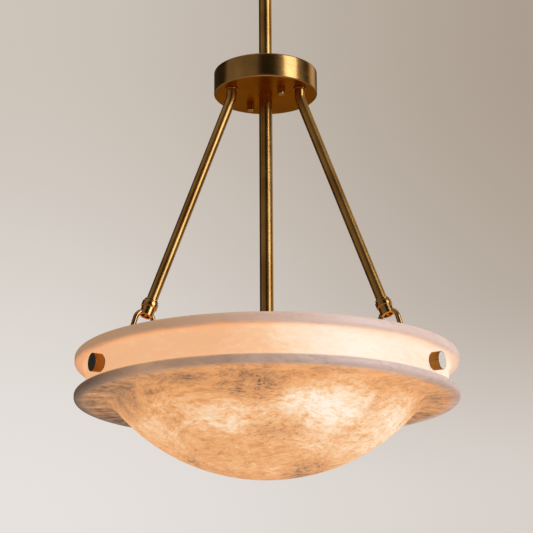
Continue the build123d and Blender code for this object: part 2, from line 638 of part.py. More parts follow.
def make_tip_eye():
    """Plug in the arm's end with a flat eye that hangs inside the cup."""
    plug = disc(ARM_RADIUS - ARM_WALL - FIT_GAP, ARM_END, ARM_END + EYE_PLUG_LENGTH)
    plug = chamfer(plug.edges().group_by(Axis.Z)[-1], EYE_PLUG_CHAMFER)
    tongue_height = ARM_END - EYE_HEIGHT
    tongue = Pos(0, 0, EYE_HEIGHT + tongue_height / 2) * Box(
        EYE_THICK, 2 * EYE_RADIUS, tongue_height
    )
    eye = Pos(0, 0, EYE_HEIGHT) * Rot(0, 90, 0) * Cylinder(EYE_RADIUS, EYE_THICK)
    hole = Pos(0, 0, EYE_HEIGHT) * Rot(0, 90, 0) * Cylinder(EYE_HOLE_RADIUS, 4 * EYE_THICK)
    turned_down = disc(TIP_CUP_BORE - CLEARANCE, EYE_HEIGHT - EYE_RADIUS, ARM_END)
    eye = (tongue + eye) & turned_down
    return plug + eye - hole - tip_screw_hole(SET_SCREW_RADIUS + FIT_GAP)


def make_tip_screw():
    """Round-headed screw through the band and the arm into the plug."""
    place = Pos(0, 0, TIP_SCREW_HEIGHT) * Rot(-90, 0, 0)
    head = disc(SET_SCREW_HEAD_RADIUS, TIP_SCREW_SEAT, TIP_SCREW_SEAT + SET_SCREW_HEAD_THICK)
    head = fillet(head.edges().group_by(Axis.Z)[-1], SET_SCREW_HEAD_THICK / 2)
    return place * (disc(SET_SCREW_RADIUS, SET_SCREW_RADIUS, TIP_SCREW_SEAT) + head)


# --- links ------------------------------------------------------------------------------------

def make_link():
    """Bow of round bar with two eyed feet, in the XZ plane, hung through the tip's eye."""
    centre = -LINK_BEND_RADIUS
    bend = LINK_BEND_RADIUS
    feet = {}
    for side in (-1, 1):
        reach = BOLT_Z - EYE_Z - side * bend * sin(LINK_SLOPE)
        feet[side] = reach / cos(LINK_SLOPE)
    leg_gap = (LINK_FOOT_OUTER + LINK_FOOT_BORE) / 2
    left_leg = Line((-bend, 0, feet[-1] + leg_gap), (-bend, 0, centre))
    top = ThreePointArc((-bend, 0, centre), (0, 0, 0), (bend, 0, centre))
    right_leg = Line((bend, 0, centre), (bend, 0, feet[1] + leg_gap))
    start = Plane(origin=(-bend, 0, feet[-1] + leg_gap), x_dir=(1, 0, 0), z_dir=(0, 0, 1))
    bar = sweep(start * Circle(LINK_BAR_RADIUS), path=left_leg + top + right_leg)
    link = LINK_FRAME * bar
    for side in (-1, 1):
        r = LINK_FOOT_RADIUS + side * bend / cos(LINK_SLOPE)
        place = Pos(r, 0, BOLT_Z) * Rot(0, 90, 0)
        link += place * Cylinder(LINK_FOOT_OUTER, LINK_FOOT_THICK)
    bore = Cylinder(LINK_FOOT_BORE, 4 * LINK_BEND_RADIUS)
    return link - Pos(LINK_FOOT_RADIUS, 0, BOLT_Z) * Rot(0, 90, 0) * bore


# --- bowl and its fixings ---------------------------------------------------------------------

def make_bowl():
    """Turned stone bowl: lip, recessed band, flange and a spherical dish, one carved piece."""
    sphere_z = BOWL_BOTTOM + DISH_SPHERE_RADIUS
    turn_angle = asin(DISH_TURN_RADIUS / DISH_SPHERE_RADIUS)
    inner_sphere = DISH_SPHERE_RADIUS - BOWL_WALL

    def on_sphere(radius, angle):
        return (radius * sin(angle), 0, sphere_z - radius * cos(angle))

    ledge = FLANGE_BOTTOM + LEDGE_THICK
    dish = ThreePointArc(
        on_sphere(DISH_SPHERE_RADIUS, 0),
        on_sphere(DISH_SPHERE_RADIUS, turn_angle / 2),
        on_sphere(DISH_SPHERE_RADIUS, turn_angle),
    )
    shoulder = TangentArc(
        on_sphere(DISH_SPHERE_RADIUS, turn_angle),
        (DISH_MOUTH_RADIUS, 0, FLANGE_BOTTOM),
        tangent=(cos(turn_angle), 0, sin(turn_angle)),
    )
    edges = Polyline(
        (DISH_MOUTH_RADIUS, 0, FLANGE_BOTTOM),
        (BOWL_RADIUS, 0, FLANGE_BOTTOM),
        (BOWL_RADIUS, 0, FLANGE_TOP),
        (BAND_RADIUS, 0, FLANGE_TOP),
        (BAND_RADIUS, 0, LIP_BOTTOM),
        (BOWL_RADIUS, 0, LIP_BOTTOM),
        (BOWL_RADIUS, 0, LIP_TOP),
        (BAND_INNER, 0, LIP_TOP),
        (BAND_INNER, 0, ledge),
        on_sphere(inner_sphere, turn_angle),
    )
    hollow = ThreePointArc(
        on_sphere(inner_sphere, turn_angle),
        on_sphere(inner_sphere, turn_angle / 2),
        on_sphere(inner_sphere, 0),
    )
    axis = Line(on_sphere(inner_sphere, 0), on_sphere(DISH_SPHERE_RADIUS, 0))
    section = make_face(dish + shoulder + edges + hollow + axis)

    def corner(radius, z):
        return section.vertices().sort_by_distance((radius, 0, z))[0]

    section = fillet(
        [corner(BOWL_RADIUS, z) for z in (FLANGE_BOTTOM, FLANGE_TOP, LIP_BOTTOM, LIP_TOP)],
        EDGE_ROUND,
    )
    section = fillet([corner(BAND_RADIUS, z) for z in (FLANGE_TOP, LIP_BOTTOM)], COVE_ROUND)
    section = fillet([corner(DISH_MOUTH_RADIUS, FLANGE_BOTTOM)], DISH_COVE_ROUND)
    pad_clear = BOLT_Z - PAD_RADIUS - ledge
    section = fillet([corner(BAND_INNER, ledge)], min(INNER_ROUND, pad_clear))
    section = fillet([corner(BAND_INNER, LIP_TOP)], INNER_LIP_ROUND)
    bowl = revolve(section, Axis.Z)
    hole = disc(BOLT_HOLE_RADIUS, BAND_INNER - THROUGH, BAND_RADIUS + THROUGH)
    for angle in ARM_ANGLES.values():
        bowl -= spun(radial(hole, BOLT_Z), angle)
    return bowl


def make_knob():
    """Plain round knob with a blind tapped hole, flat face outward."""
    knob = disc(KNOB_RADIUS, KNOB_IN, KNOB_OUT)
    knob = chamfer(knob.edges(), EDGE_BREAK)
    return radial(knob - disc(BOLT_RADIUS + FIT_GAP, 0, KNOB_IN + KNOB_BORE_DEPTH), BOLT_Z)


def make_bolt():
    """Threaded rod from inside the knob through the wall and both feet of the link."""
    return radial(chamfer(disc(BOLT_RADIUS, BOLT_IN, BOLT_OUT).edges(), BOLT_CHAMFER), BOLT_Z)


def make_outer_pad():
    """Soft washer between the knob and the stone."""
    pad = ring(PAD_RADIUS, BOLT_RADIUS + FIT_GAP, BAND_RADIUS - PAD_BED, KNOB_IN)
    stone = Cylinder(BAND_RADIUS + TINY, 4 * PAD_RADIUS)
    return radial(pad, BOLT_Z) - Pos(0, 0, BOLT_Z) * stone


def make_inner_pad():
    """Soft washer inside the stone."""
    pad = ring(PAD_RADIUS, BOLT_RADIUS + FIT_GAP, PAD_IN, BAND_INNER + PAD_BED)
    wall = Pos(0, 0, BOLT_Z) * Cylinder(BAND_INNER - TINY, 4 * PAD_RADIUS)
    return radial(pad, BOLT_Z) & wall


def make_inner_washer():
    """Metal washer on the inner pad."""
    return radial(ring(PAD_RADIUS, BOLT_RADIUS + FIT_GAP, WASHER_IN, PAD_IN), BOLT_Z)


def make_clamp_nut():
    """Nut that clamps the bolt to the wall."""
    nut = hex_nut(BOLT_NUT_FLATS, BOLT_RADIUS + FIT_GAP, CLAMP_NUT_IN, WASHER_IN)
    return radial(nut, BOLT_Z)


def make_end_nut():
    """Nut on the bolt's inner end that keeps the link on."""
    nut = hex_nut(
        BOLT_NUT_FLATS, BOLT_RADIUS + FIT_GAP, END_NUT_OUT - BOLT_NUT_THICK, END_NUT_OUT
    )
    return radial(nut, BOLT_Z)


# --- lamp cluster -----------------------------------------------------------------------------

def make_cluster_body():
    """Turned cup on the rod's end, open below, with a seat for each lamp holder."""
    cup = disc(CLUSTER_RADIUS, CLUSTER_FLOOR, CLUSTER_TOP)
    cup = fillet(cup.edges().group_by(Axis.Z)[-1], CLUSTER_ROUND)
    bore = CLUSTER_RADIUS - CLUSTER_WALL
    cup -= disc(bore, CLUSTER_FLOOR - THROUGH, ROD_BOTTOM - CLUSTER_WALL)
    cup -= disc(ROD_RADIUS + FIT_GAP, ROD_BOTTOM, CLUSTER_TOP + THROUGH)
    cup -= disc(ROD_RADIUS - STEM_WALL, CLUSTER_FLOOR, CLUSTER_TOP)
    seat = disc(HOLDER_BOSS_RADIUS + FIT_GAP, BOSS_SEAT, CLUSTER_RADIUS + THROUGH)
    seat += disc(HOLDER_STEM_RADIUS + FIT_GAP, bore / 2, CLUSTER_RADIUS)
    for angle in LAMP_ANGLES:
        cup -= spun(radial(seat, LAMP_Z), angle)
    return cup


def make_cluster_cover():
    """Disc that closes the cup, with a stud for the finial."""
    cover = disc(CLUSTER_RADIUS, CLUSTER_FLOOR - COVER_THICK, CLUSTER_FLOOR)
    cover = chamfer(cover.edges().group_by(Axis.Z)[0], COVER_CHAMFER)
    stud_bottom = CLUSTER_FLOOR - COVER_THICK - FINIAL_HEIGHT / 2
    return cover + disc(COVER_CENTRE_RADIUS, stud_bottom, CLUSTER_FLOOR + COVER_STUD_UP)


def make_finial():
    """Domed nut under the cover."""
    depth = FINIAL_HEIGHT / 2 + THREAD_CLEAR
    nut = domed_nut(FINIAL_RADIUS, FINIAL_HEIGHT, COVER_CENTRE_RADIUS + FIT_GAP, depth)
    return Pos(0, 0, CLUSTER_FLOOR - COVER_THICK) * nut


def make_lamp_holder():
    """Cup that takes a bulb's cap, with a boss and a threaded stem into the cluster."""
    cup = chamfer(disc(HOLDER_RADIUS, HOLDER_IN, HOLDER_OUT).edges(), HOLDER_CHAMFER)
    cup -= disc(HOLDER_RADIUS - HOLDER_WALL, CAP_IN + HOLDER_STEP, HOLDER_OUT + THROUGH)
    cup -= disc(BULB_CAP_RADIUS + BULB_CAP_GAP, CAP_IN, HOLDER_OUT)
    boss = disc(HOLDER_BOSS_RADIUS, BOSS_SEAT, HOLDER_IN)
    stem_in = CLUSTER_RADIUS - CLUSTER_WALL - HOLDER_STEM_IN
    stem = disc(HOLDER_STEM_RADIUS, stem_in, BOSS_SEAT)
    wire_way = disc(HOLDER_WIRE_BORE, stem_in - THROUGH, CAP_IN + THROUGH)
    return radial(cup + boss + stem - wire_way, LAMP_Z)


def make_bulb_cap():
    """Metal screw cap of the bulb with its end contact."""
    contact = disc(BULB_CONTACT_RADIUS, CAP_IN, CAP_IN + BULB_CONTACT_LENGTH)
    cap = disc(BULB_CAP_RADIUS, CAP_IN + BULB_CONTACT_LENGTH, CAP_OUT)
    cap = chamfer(cap.edges().group_by(Axis.Z)[0], BULB_CAP_CHAMFER)
    return radial(contact + cap, LAMP_Z)


def make_bulb_glass():
    """Round glass envelope: a sphere drawn in to the neck by one reversed arc."""
    centre = BULB_LENGTH - BULB_RADIUS
    neck = BULB_CAP_RADIUS - BULB_NECK_INSET
    joint = radians(BULB_JOINT_ANGLE)

    def outline(globe, throat):
        touch = (globe * cos(joint), 0, centre - globe * sin(joint))
        flare = TangentArc(touch, (throat, 0, 0), tangent=(-sin(joint), 0, -cos(joint)))
        ball = ThreePointArc(touch, (globe, 0, centre), (0, 0, centre + globe))
        closing = Polyline((0, 0, centre + globe), (0, 0, 0), (throat, 0, 0))
        return make_face(flare + ball + closing)

    glass = revolve(outline(BULB_RADIUS, neck), Axis.Z)
    glass -= revolve(outline(BULB_RADIUS - BULB_GLASS, neck - BULB_GLASS), Axis.Z)
    return radial(Pos(0, 0, CAP_OUT) * glass, LAMP_Z)


def around_arms(piece):
    """One copy of a piece for each arm, as a list."""
    return [spun(piece, angle) for angle in ARM_ANGLES.values()]


def main():
    os.makedirs("parts", exist_ok=True)
    save("ceiling_crossbar", make_crossbar())
    save("swivel_nipple", make_nipple())
    save("nipple_lock_nut", make_nipple_nut())
    save("swivel_upper_yoke", make_upper_yoke())
    save("swivel_upper_pin", make_pin(UPPER_PIN_Z))
    save("swivel_block", make_block())
    save("swivel_lower_pin", spun(make_pin(LOWER_PIN_Z), 90))
    save("swivel_lower_yoke", make_lower_yoke())
    save("canopy", make_canopy())
    save("canopy_screws", Compound(make_canopy_screws()))
    save("canopy_cap_nuts", Compound(make_canopy_nuts()))
    save("stem_collar", make_collar())
    save("collar_set_screw", make_collar_screw())
    save("stem", make_stem())
    save("hub_lock_ring", make_lock_ring())
    save("hub_shell", make_hub_shell())
    save("hub_plate", make_hub_plate())
    save("hub_coupling", make_coupling())
    save("hub_studs", Compound(make_hub_studs()))
    save("hub_cap_nuts", Compound(make_hub_nuts()))
    save("arm_collars", Compound(around_arms(make_arm_collar())))
    save("arm_lock_nuts", Compound(around_arms(make_arm_nut())))
    save("tip_screws", Compound(around_arms(TIP_FRAME * make_tip_screw())))
    save("outer_pads", Compound(around_arms(make_outer_pad())))
    save("inner_pads", Compound(around_arms(make_inner_pad())))
    save("inner_washers", Compound(around_arms(make_inner_washer())))
    save("clamp_nuts", Compound(around_arms(make_clamp_nut())))
    save("end_nuts", Compound(around_arms(make_end_nut())))
    arm = make_arm()
    socket = TIP_FRAME * make_tip_socket()
    eye = TIP_FRAME * make_tip_eye()
    link = make_link()
    bolt = make_bolt()
    knob = make_knob()
    for side, angle in ARM_ANGLES.items():
        save("arm_" + side, spun(arm, angle))
        save("tip_socket_" + side, spun(socket, angle))
        save("tip_eye_" + side, spun(eye, angle))
        save("link_" + side, spun(link, angle))
        save("bowl_bolt_" + side, spun(bolt, angle))
        save("bowl_knob_" + side, spun(knob, angle))
    save("alabaster_bowl", make_bowl())
    save("centre_rod", make_centre_rod())
    save("lamp_cluster_body", make_cluster_body())
    save("lamp_cluster_cover", make_cluster_cover())
    save("lamp_cluster_finial", make_finial())
    holder = make_lamp_holder()
    cap = make_bulb_cap()
    glass = make_bulb_glass()
    save("bulb_caps", Compound([spun(cap, angle) for angle in LAMP_ANGLES]))
    for number, angle in enumerate(LAMP_ANGLES, start=1):
        save(f"lamp_holder_{number}", spun(holder, angle))
        save(f"bulb_glass_{number}", spun(glass, angle))


main()
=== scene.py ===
import json
import math

import bpy
import numpy as np
from bpy.props import FloatProperty, FloatVectorProperty, PointerProperty
from mathutils import Matrix, Vector


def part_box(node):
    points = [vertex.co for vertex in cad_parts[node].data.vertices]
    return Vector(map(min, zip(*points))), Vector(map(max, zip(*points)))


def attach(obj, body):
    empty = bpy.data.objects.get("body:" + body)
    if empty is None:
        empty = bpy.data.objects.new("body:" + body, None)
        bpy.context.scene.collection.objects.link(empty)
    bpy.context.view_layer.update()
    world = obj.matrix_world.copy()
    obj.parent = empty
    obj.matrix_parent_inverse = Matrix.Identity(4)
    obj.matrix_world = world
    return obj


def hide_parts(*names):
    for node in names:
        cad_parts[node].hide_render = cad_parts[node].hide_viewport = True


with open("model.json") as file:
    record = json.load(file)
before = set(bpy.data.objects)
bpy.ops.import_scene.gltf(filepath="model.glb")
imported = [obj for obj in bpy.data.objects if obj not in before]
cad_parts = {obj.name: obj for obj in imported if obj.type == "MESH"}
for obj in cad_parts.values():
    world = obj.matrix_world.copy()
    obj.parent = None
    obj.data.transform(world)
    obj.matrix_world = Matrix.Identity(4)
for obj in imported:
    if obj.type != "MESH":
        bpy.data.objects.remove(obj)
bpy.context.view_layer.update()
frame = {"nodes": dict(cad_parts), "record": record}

bl_info = {
    "name": "Alabaster bowl pendant",
    "version": (1, 0, 0),
    "blender": (4, 5, 0),
    "location": "View3D > Sidebar > Pendant",
    "description": "Stone bowl, brass stem, hub, arms and links of a lit pendant",
    "category": "Add Mesh",
}

SIDES = {"left": -150.0, "right": -30.0, "back": 90.0}
LAMPS = (-50.0, 70.0, 190.0)


def ends(node):
    """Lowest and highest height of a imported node, in metres."""
    low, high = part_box(node)
    return low[2], high[2]


BOWL_LOW, LIP_TOP = ends("alabaster_bowl")
HUB_LOW, HUB_TOP = ends("hub_plate")[0], ends("hub_shell")[1]
PLATE_TOP = ends("hub_plate")[1]
LIP_LOW = LIP_TOP - 0.0128  # heights of the lip, the band between lip and flange, the flange
FLANGE_TOP = LIP_LOW - 0.0323
FLANGE_LOW = FLANGE_TOP - 0.0105
BOLT_Z = (LIP_LOW + FLANGE_TOP) / 2
ARM_RING = 0.0488           # axis to an arm where it leaves the hub
ARM_STUB = 0.0134           # hub underside to the corner of an arm's bend
ARM_BEND = 0.030            # radius of that bend, on the tube's middle line
ARM_TOP = PLATE_TOP + 0.0055
SEAT_HEIGHT = 0.002         # height of the ring round an arm under the hub
NUT_RING = 0.0333           # axis to a cap nut under the hub
NUTS = (125.2, -54.8)       # and the nuts' directions
CUP_RING = 0.1618           # axis to the middle of a socket's mouth
CUP_Z = LIP_TOP + 0.0324    # height of the middle of a socket's mouth
CUP_RADIUS = 0.0082         # outside of a socket's cup
CUP_HEIGHT = 0.0110         # mouth to the shoulder above the cup
EYE_DEPTH = 0.0054          # mouth to the centre of the eye in the cup
FOOT_RING = 0.1803          # axis to the middle between a link's feet
FOOT_THICK = 0.0045         # a foot's thickness along its bolt
LEG_END = 0.0052            # bolt's middle line to the end of a link's leg
LINK_BEND = 0.0115          # middle line's radius at the top of a link
LINK_BAR = 0.0030           # radius of a link's bar
STEM_BORE = 0.00805         # bore of what sits on the stem
DISH_RADIUS = 0.239         # radius of the dish's outside
DISH_END = 0.1769           # axis to the end of the dish's arc
SHOULDER_RING = 0.1838      # axis to the corner of shoulder and flange
KNOB_LENGTH = 0.0112
KNOB_SEAT = 0.0012          # pad between the band and a knob
CHAMFER = 0.0012            # bottom disc's chamfer
CLUSTER_Z = -0.7048         # height of the lamps' middle lines
LAMP_RING = 0.0618          # axis to the start of a lamp's glass
BLACK = (0.0, 0.0, 0.0)


# --- sizes and colours ------------------------------------------------------------------------

def length(name, words, default):
    """A length property in metres."""
    return FloatProperty(
        name=name, description=words, default=default, min=0.0, unit="LENGTH", precision=5)


def colour(name, words, default):
    """A colour property, linear red, green and blue."""
    return FloatVectorProperty(
        name=name, description=words, default=default, size=3, min=0.0, max=1.0, subtype="COLOR")


class PendantSizes(bpy.types.PropertyGroup):
    """Sizes that shape the visible surfaces."""
    bowl_radius: length("Bowl radius", "Axis to the outside of lip and flange", 0.2286)
    band_radius: length("Band radius", "Axis to the outside of the recessed band", 0.2156)
    wall: length("Stone wall", "Thickness of the stone", 0.012)
    edge_round: length("Edge round", "Round of the lip's and the flange's outer edges", 0.0042)
    hub_radius: length("Hub radius", "Axis to the side of the drum", 0.0645)
    stem_radius: length("Stem radius", "Radius of the stem above the hub", 0.008)
    rod_radius: length("Rod radius", "Radius of the rod below the hub", 0.0082)
    arm_radius: length("Arm radius", "Radius of the arms' tube", 0.00635)
    knob_radius: length("Knob radius", "Radius of the round knobs", 0.01065)


class PendantColours(bpy.types.PropertyGroup):
    """Colours of the finishes."""
    brass_light: colour("Brass, rubbed", "Brass where the brown is rubbed thin", (0.52, 0.275, 0.075))
    brass_dark: colour("Brass, browned", "Brass under the brown finish", (0.34, 0.155, 0.036))
    # Painted reflection: the underside's red stands in for the lit bowl's warm glow on the brass.
    copper: colour("Hub underside", "Redder brass of the hub's bottom disc", (0.47, 0.125, 0.004))
    knob_face: colour("Knob face", "Nickelled end face of a knob", (0.80, 0.78, 0.76))
    # Painted light: glow colours of the lit stone, amber away from the lamps and cream close to them.
    glow_amber: colour("Lit stone", "Stone with the lamps behind it", (0.947, 0.617, 0.366))
    glow_cream: colour("Bright stone", "Stone close to a lamp", (1.0, 0.871, 0.716))
    # Shaded and lit copies of the thick edges' grey: painted shade at the left, painted light at the right.
    stone_edge_shaded: colour("Thick stone, grey", "Outer edges at the left, by room light", (0.40, 0.27, 0.205))
    stone_edge_lit: colour("Thick stone, pale", "Outer edges at the right, by room light", (0.48, 0.385, 0.34))
    # Painted glow of the thick edges, dimmer amber at the left and rose at the right.
    rim_glow_shaded: colour("Rim glow, amber", "Light through the thick edges, left", (0.33, 0.185, 0.10))
    rim_glow_lit: colour("Rim glow, rose", "Light through the thick edges, right", (0.455, 0.30, 0.235))
    wall_low: colour("Backdrop, low", "Pale backdrop behind the bowl", (0.80, 0.76, 0.73))
    wall_high: colour("Backdrop, high", "Pale backdrop behind the hub", (0.61, 0.55, 0.49))


# --- surfaces ---------------------------------------------------------------------------------

def rounded(corners, step=0.35):
    """Outline through (radius, height, round) corners.

    Each corner is replaced by the arc of that radius tangent to both its sides, sampled so that
    one piece of arc turns by no more than `step` radians."""
    points = []
    count = len(corners)
    for index, (r, z, size) in enumerate(corners):
        here = np.array((r, z))
        if size <= 0 or index in (0, count - 1):
            points.append(here)
            continue
        before = np.array(corners[index - 1][:2]) - here
        after = np.array(corners[index + 1][:2]) - here
        before = before / np.linalg.norm(before)
        after = after / np.linalg.norm(after)
        half = math.acos(np.clip(before @ after, -1, 1)) / 2
        middle = here + (before + after) / np.linalg.norm(before + after) * size / math.sin(half)
        start = here + before * size / math.tan(half) - middle
        end = here + after * size / math.tan(half) - middle
        turn = math.pi - 2 * half
        t = np.linspace(0, 1, max(3, math.ceil(turn / step) + 1))[:, None]
        arc = (start * np.sin((1 - t) * turn) + end * np.sin(t * turn)) / math.sin(turn)
        points.extend(middle + arc)
    return np.array(points)


def run_length(points):
    """Length along a line of points, at each of them."""
    steps = np.linalg.norm(np.diff(points, axis=0), axis=1)
    return np.concatenate([[0], np.cumsum(steps)])


def divided(points, size):
    """The same outline with its long runs cut into steps of about `size`."""
    runs = np.linalg.norm(np.diff(points, axis=0), axis=1)
    places = [points[:1]]
    for start, end, run in zip(points[:-1], points[1:], runs):
        t = np.linspace(0, 1, max(2, math.ceil(run / size) + 1))[1:, None]
        places.append(start + (end - start) * t)
    return np.concatenate(places)


def turned(outline, around):
    """Surface of revolution about Z.

    Point (i, j) is outline point j turned by angle 2*pi*i/around from +Y; u is the angle times
    the largest radius and v the length along the outline. An outline that goes up the outside
    and down a bore makes faces that look out of the material."""
    angle = np.linspace(0, 2 * math.pi, around + 1)[:-1] + math.pi / 2
    r, z = outline[:, 0], outline[:, 1]
    grid = np.stack([
        np.cos(angle)[:, None] * r,
        np.sin(angle)[:, None] * r,
        np.broadcast_to(z, (around, len(z))),
    ], axis=-1)
    return grid, run_length(outline), r.max() * 2 * math.pi


def carried(path, radius, around):
    """Round bar or tube: a circle carried along a path.

    Point (i, j) is path point j plus `radius` times the unit vector at angle 2*pi*i/around in
    the plane square to the path there; the two directions of that plane are carried along
    without turning about the path."""
    steps = np.gradient(path, axis=0)
    tangent = steps / np.linalg.norm(steps, axis=1)[:, None]
    side = np.cross(tangent[0], (0.0, 0.0, 1.0))
    if np.linalg.norm(side) < 1e-6:
        side = np.cross(tangent[0], (0.0, 1.0, 0.0))
    sides = []
    for direction in tangent:
        side = side - direction * (side @ direction)
        side = side / np.linalg.norm(side)
        sides.append(side)
    sides = np.array(sides)
    others = np.cross(tangent, sides)
    angle = np.linspace(0, 2 * math.pi, around + 1)[:-1, None, None]
    grid = path + radius * (np.cos(angle) * sides + np.sin(angle) * others)
    return grid, run_length(path), radius * 2 * math.pi


def placed(surface, matrix):
    """The same surface moved by a 4 by 4 matrix."""
    grid = surface[0] @ matrix[:3, :3].T + matrix[:3, 3]
    return (grid, *surface[1:])


def spin(degrees):
    """Matrix of a turn about Z."""
    c, s = math.cos(math.radians(degrees)), math.sin(math.radians(degrees))
    return np.array(((c, -s, 0, 0), (s, c, 0, 0), (0, 0, 1, 0), (0, 0, 0, 1.0)))


def tilt(degrees):
    """Matrix of a turn about Y."""
    c, s = math.cos(math.radians(degrees)), math.sin(math.radians(degrees))
    return np.array(((c, 0, s, 0), (0, 1, 0, 0), (-s, 0, c, 0), (0, 0, 0, 1.0)))


def shift(x, y, z):
    """Matrix of a move."""
    matrix = np.eye(4)
    matrix[:3, 3] = (x, y, z)
    return matrix


def piece(name, surfaces, body, stands_for, finish, materials=None):
    """Makes one object from surfaces on grids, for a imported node, and puts it on its body.

    Each grid becomes quads between neighbours, wrapped round in its first direction; a column
    whose points fall together closes to a pole, where the quads are triangles. `materials`
    picks a finish for each surface."""
    points, quads, uvs, picks = [], [], [], []
    offset = 0
    for number, (grid, v, girth) in enumerate(surfaces):
        n, m = grid.shape[:2]
        ids = offset + np.arange(n * m).reshape(n, m)
        for j in (0, m - 1):
            if np.ptp(grid[:, j], axis=0).max() < 1e-7:
                ids[:, j] = ids[0, j]
        far = np.roll(ids, -1, axis=0)
        u = np.arange(n + 1) / n * girth
        u0, u1 = (np.broadcast_to(one[:, None], (n, m - 1)) for one in (u[:-1], u[1:]))
        v0, v1 = (np.broadcast_to(one, (n, m - 1)) for one in (v[:-1], v[1:]))
        corners = np.stack([ids[:, :-1], far[:, :-1], far[:, 1:], ids[:, 1:]], axis=-1)
        quads.append(corners.reshape(-1, 4))
        uvs.append(np.stack([u0, v0, u1, v0, u1, v1, u0, v1], axis=-1).reshape(-1, 4, 2))
        picks.append(np.full(len(quads[-1]), materials[number] if materials else 0))
        points.append(grid.reshape(-1, 3))
        offset += n * m
    quads, uvs = np.concatenate(quads), np.concatenate(uvs)
    keep = quads != np.roll(quads, 1, axis=1)
    used, corners = np.unique(quads[keep], return_inverse=True)
    starts = np.concatenate([[0], np.cumsum(keep.sum(axis=1))[:-1]])
    mesh = bpy.data.meshes.new(name)
    mesh.vertices.add(len(used))
    mesh.vertices.foreach_set("co", np.concatenate(points)[used].astype(np.float32).ravel())
    mesh.loops.add(len(corners))
    mesh.loops.foreach_set("vertex_index", corners.astype(np.int32).ravel())
    mesh.polygons.add(len(quads))
    mesh.polygons.foreach_set("loop_start", starts.astype(np.int32))
    mesh.polygons.foreach_set("material_index", np.concatenate(picks).astype(np.int32))
    mesh.update(calc_edges=True)
    layer = mesh.uv_layers.new(name="Run")
    layer.uv.foreach_set("vector", uvs[keep].astype(np.float32).ravel())
    mesh.shade_smooth()
    mesh.set_sharp_from_angle(angle=math.radians(32.0))
    made = bpy.data.objects.new(name, mesh)
    bpy.context.scene.collection.objects.link(made)
    for one in finish if isinstance(finish, list) else [finish]:
        mesh.materials.append(one)
    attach(made, body)
    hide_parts(stands_for)


# --- finishes ---------------------------------------------------------------------------------

class Value:
    """A number in a node tree that takes part in sums as a Python number does."""

    def __init__(self, finish, socket):
        self.finish = finish
        self.socket = socket

    def _math(self, kind, *values):
        return self.finish.value("ShaderNodeMath", {"operation": kind}, dict(enumerate(values)))

    def __add__(self, other):
        return self._math("ADD", self, other)

    __radd__ = __add__

    def __sub__(self, other):
        return self._math("SUBTRACT", self, other)

    def __rsub__(self, other):
        return self._math("SUBTRACT", other, self)

    def __mul__(self, other):
        return self._math("MULTIPLY", self, other)

    __rmul__ = __mul__

    def __truediv__(self, other):
        return self._math("DIVIDE", self, other)

    def __pow__(self, other):
        return self._math("POWER", self, other)

    def __neg__(self):
        return self._math("MULTIPLY", self, -1.0)

    def low(self, other):
        return self._math("MINIMUM", self, other)

    def high(self, other):
        return self._math("MAXIMUM", self, other)

    def size(self):
        return self._math("ABSOLUTE", self)

    def direction(self, other):
        return self._math("ARCTAN2", self, other)


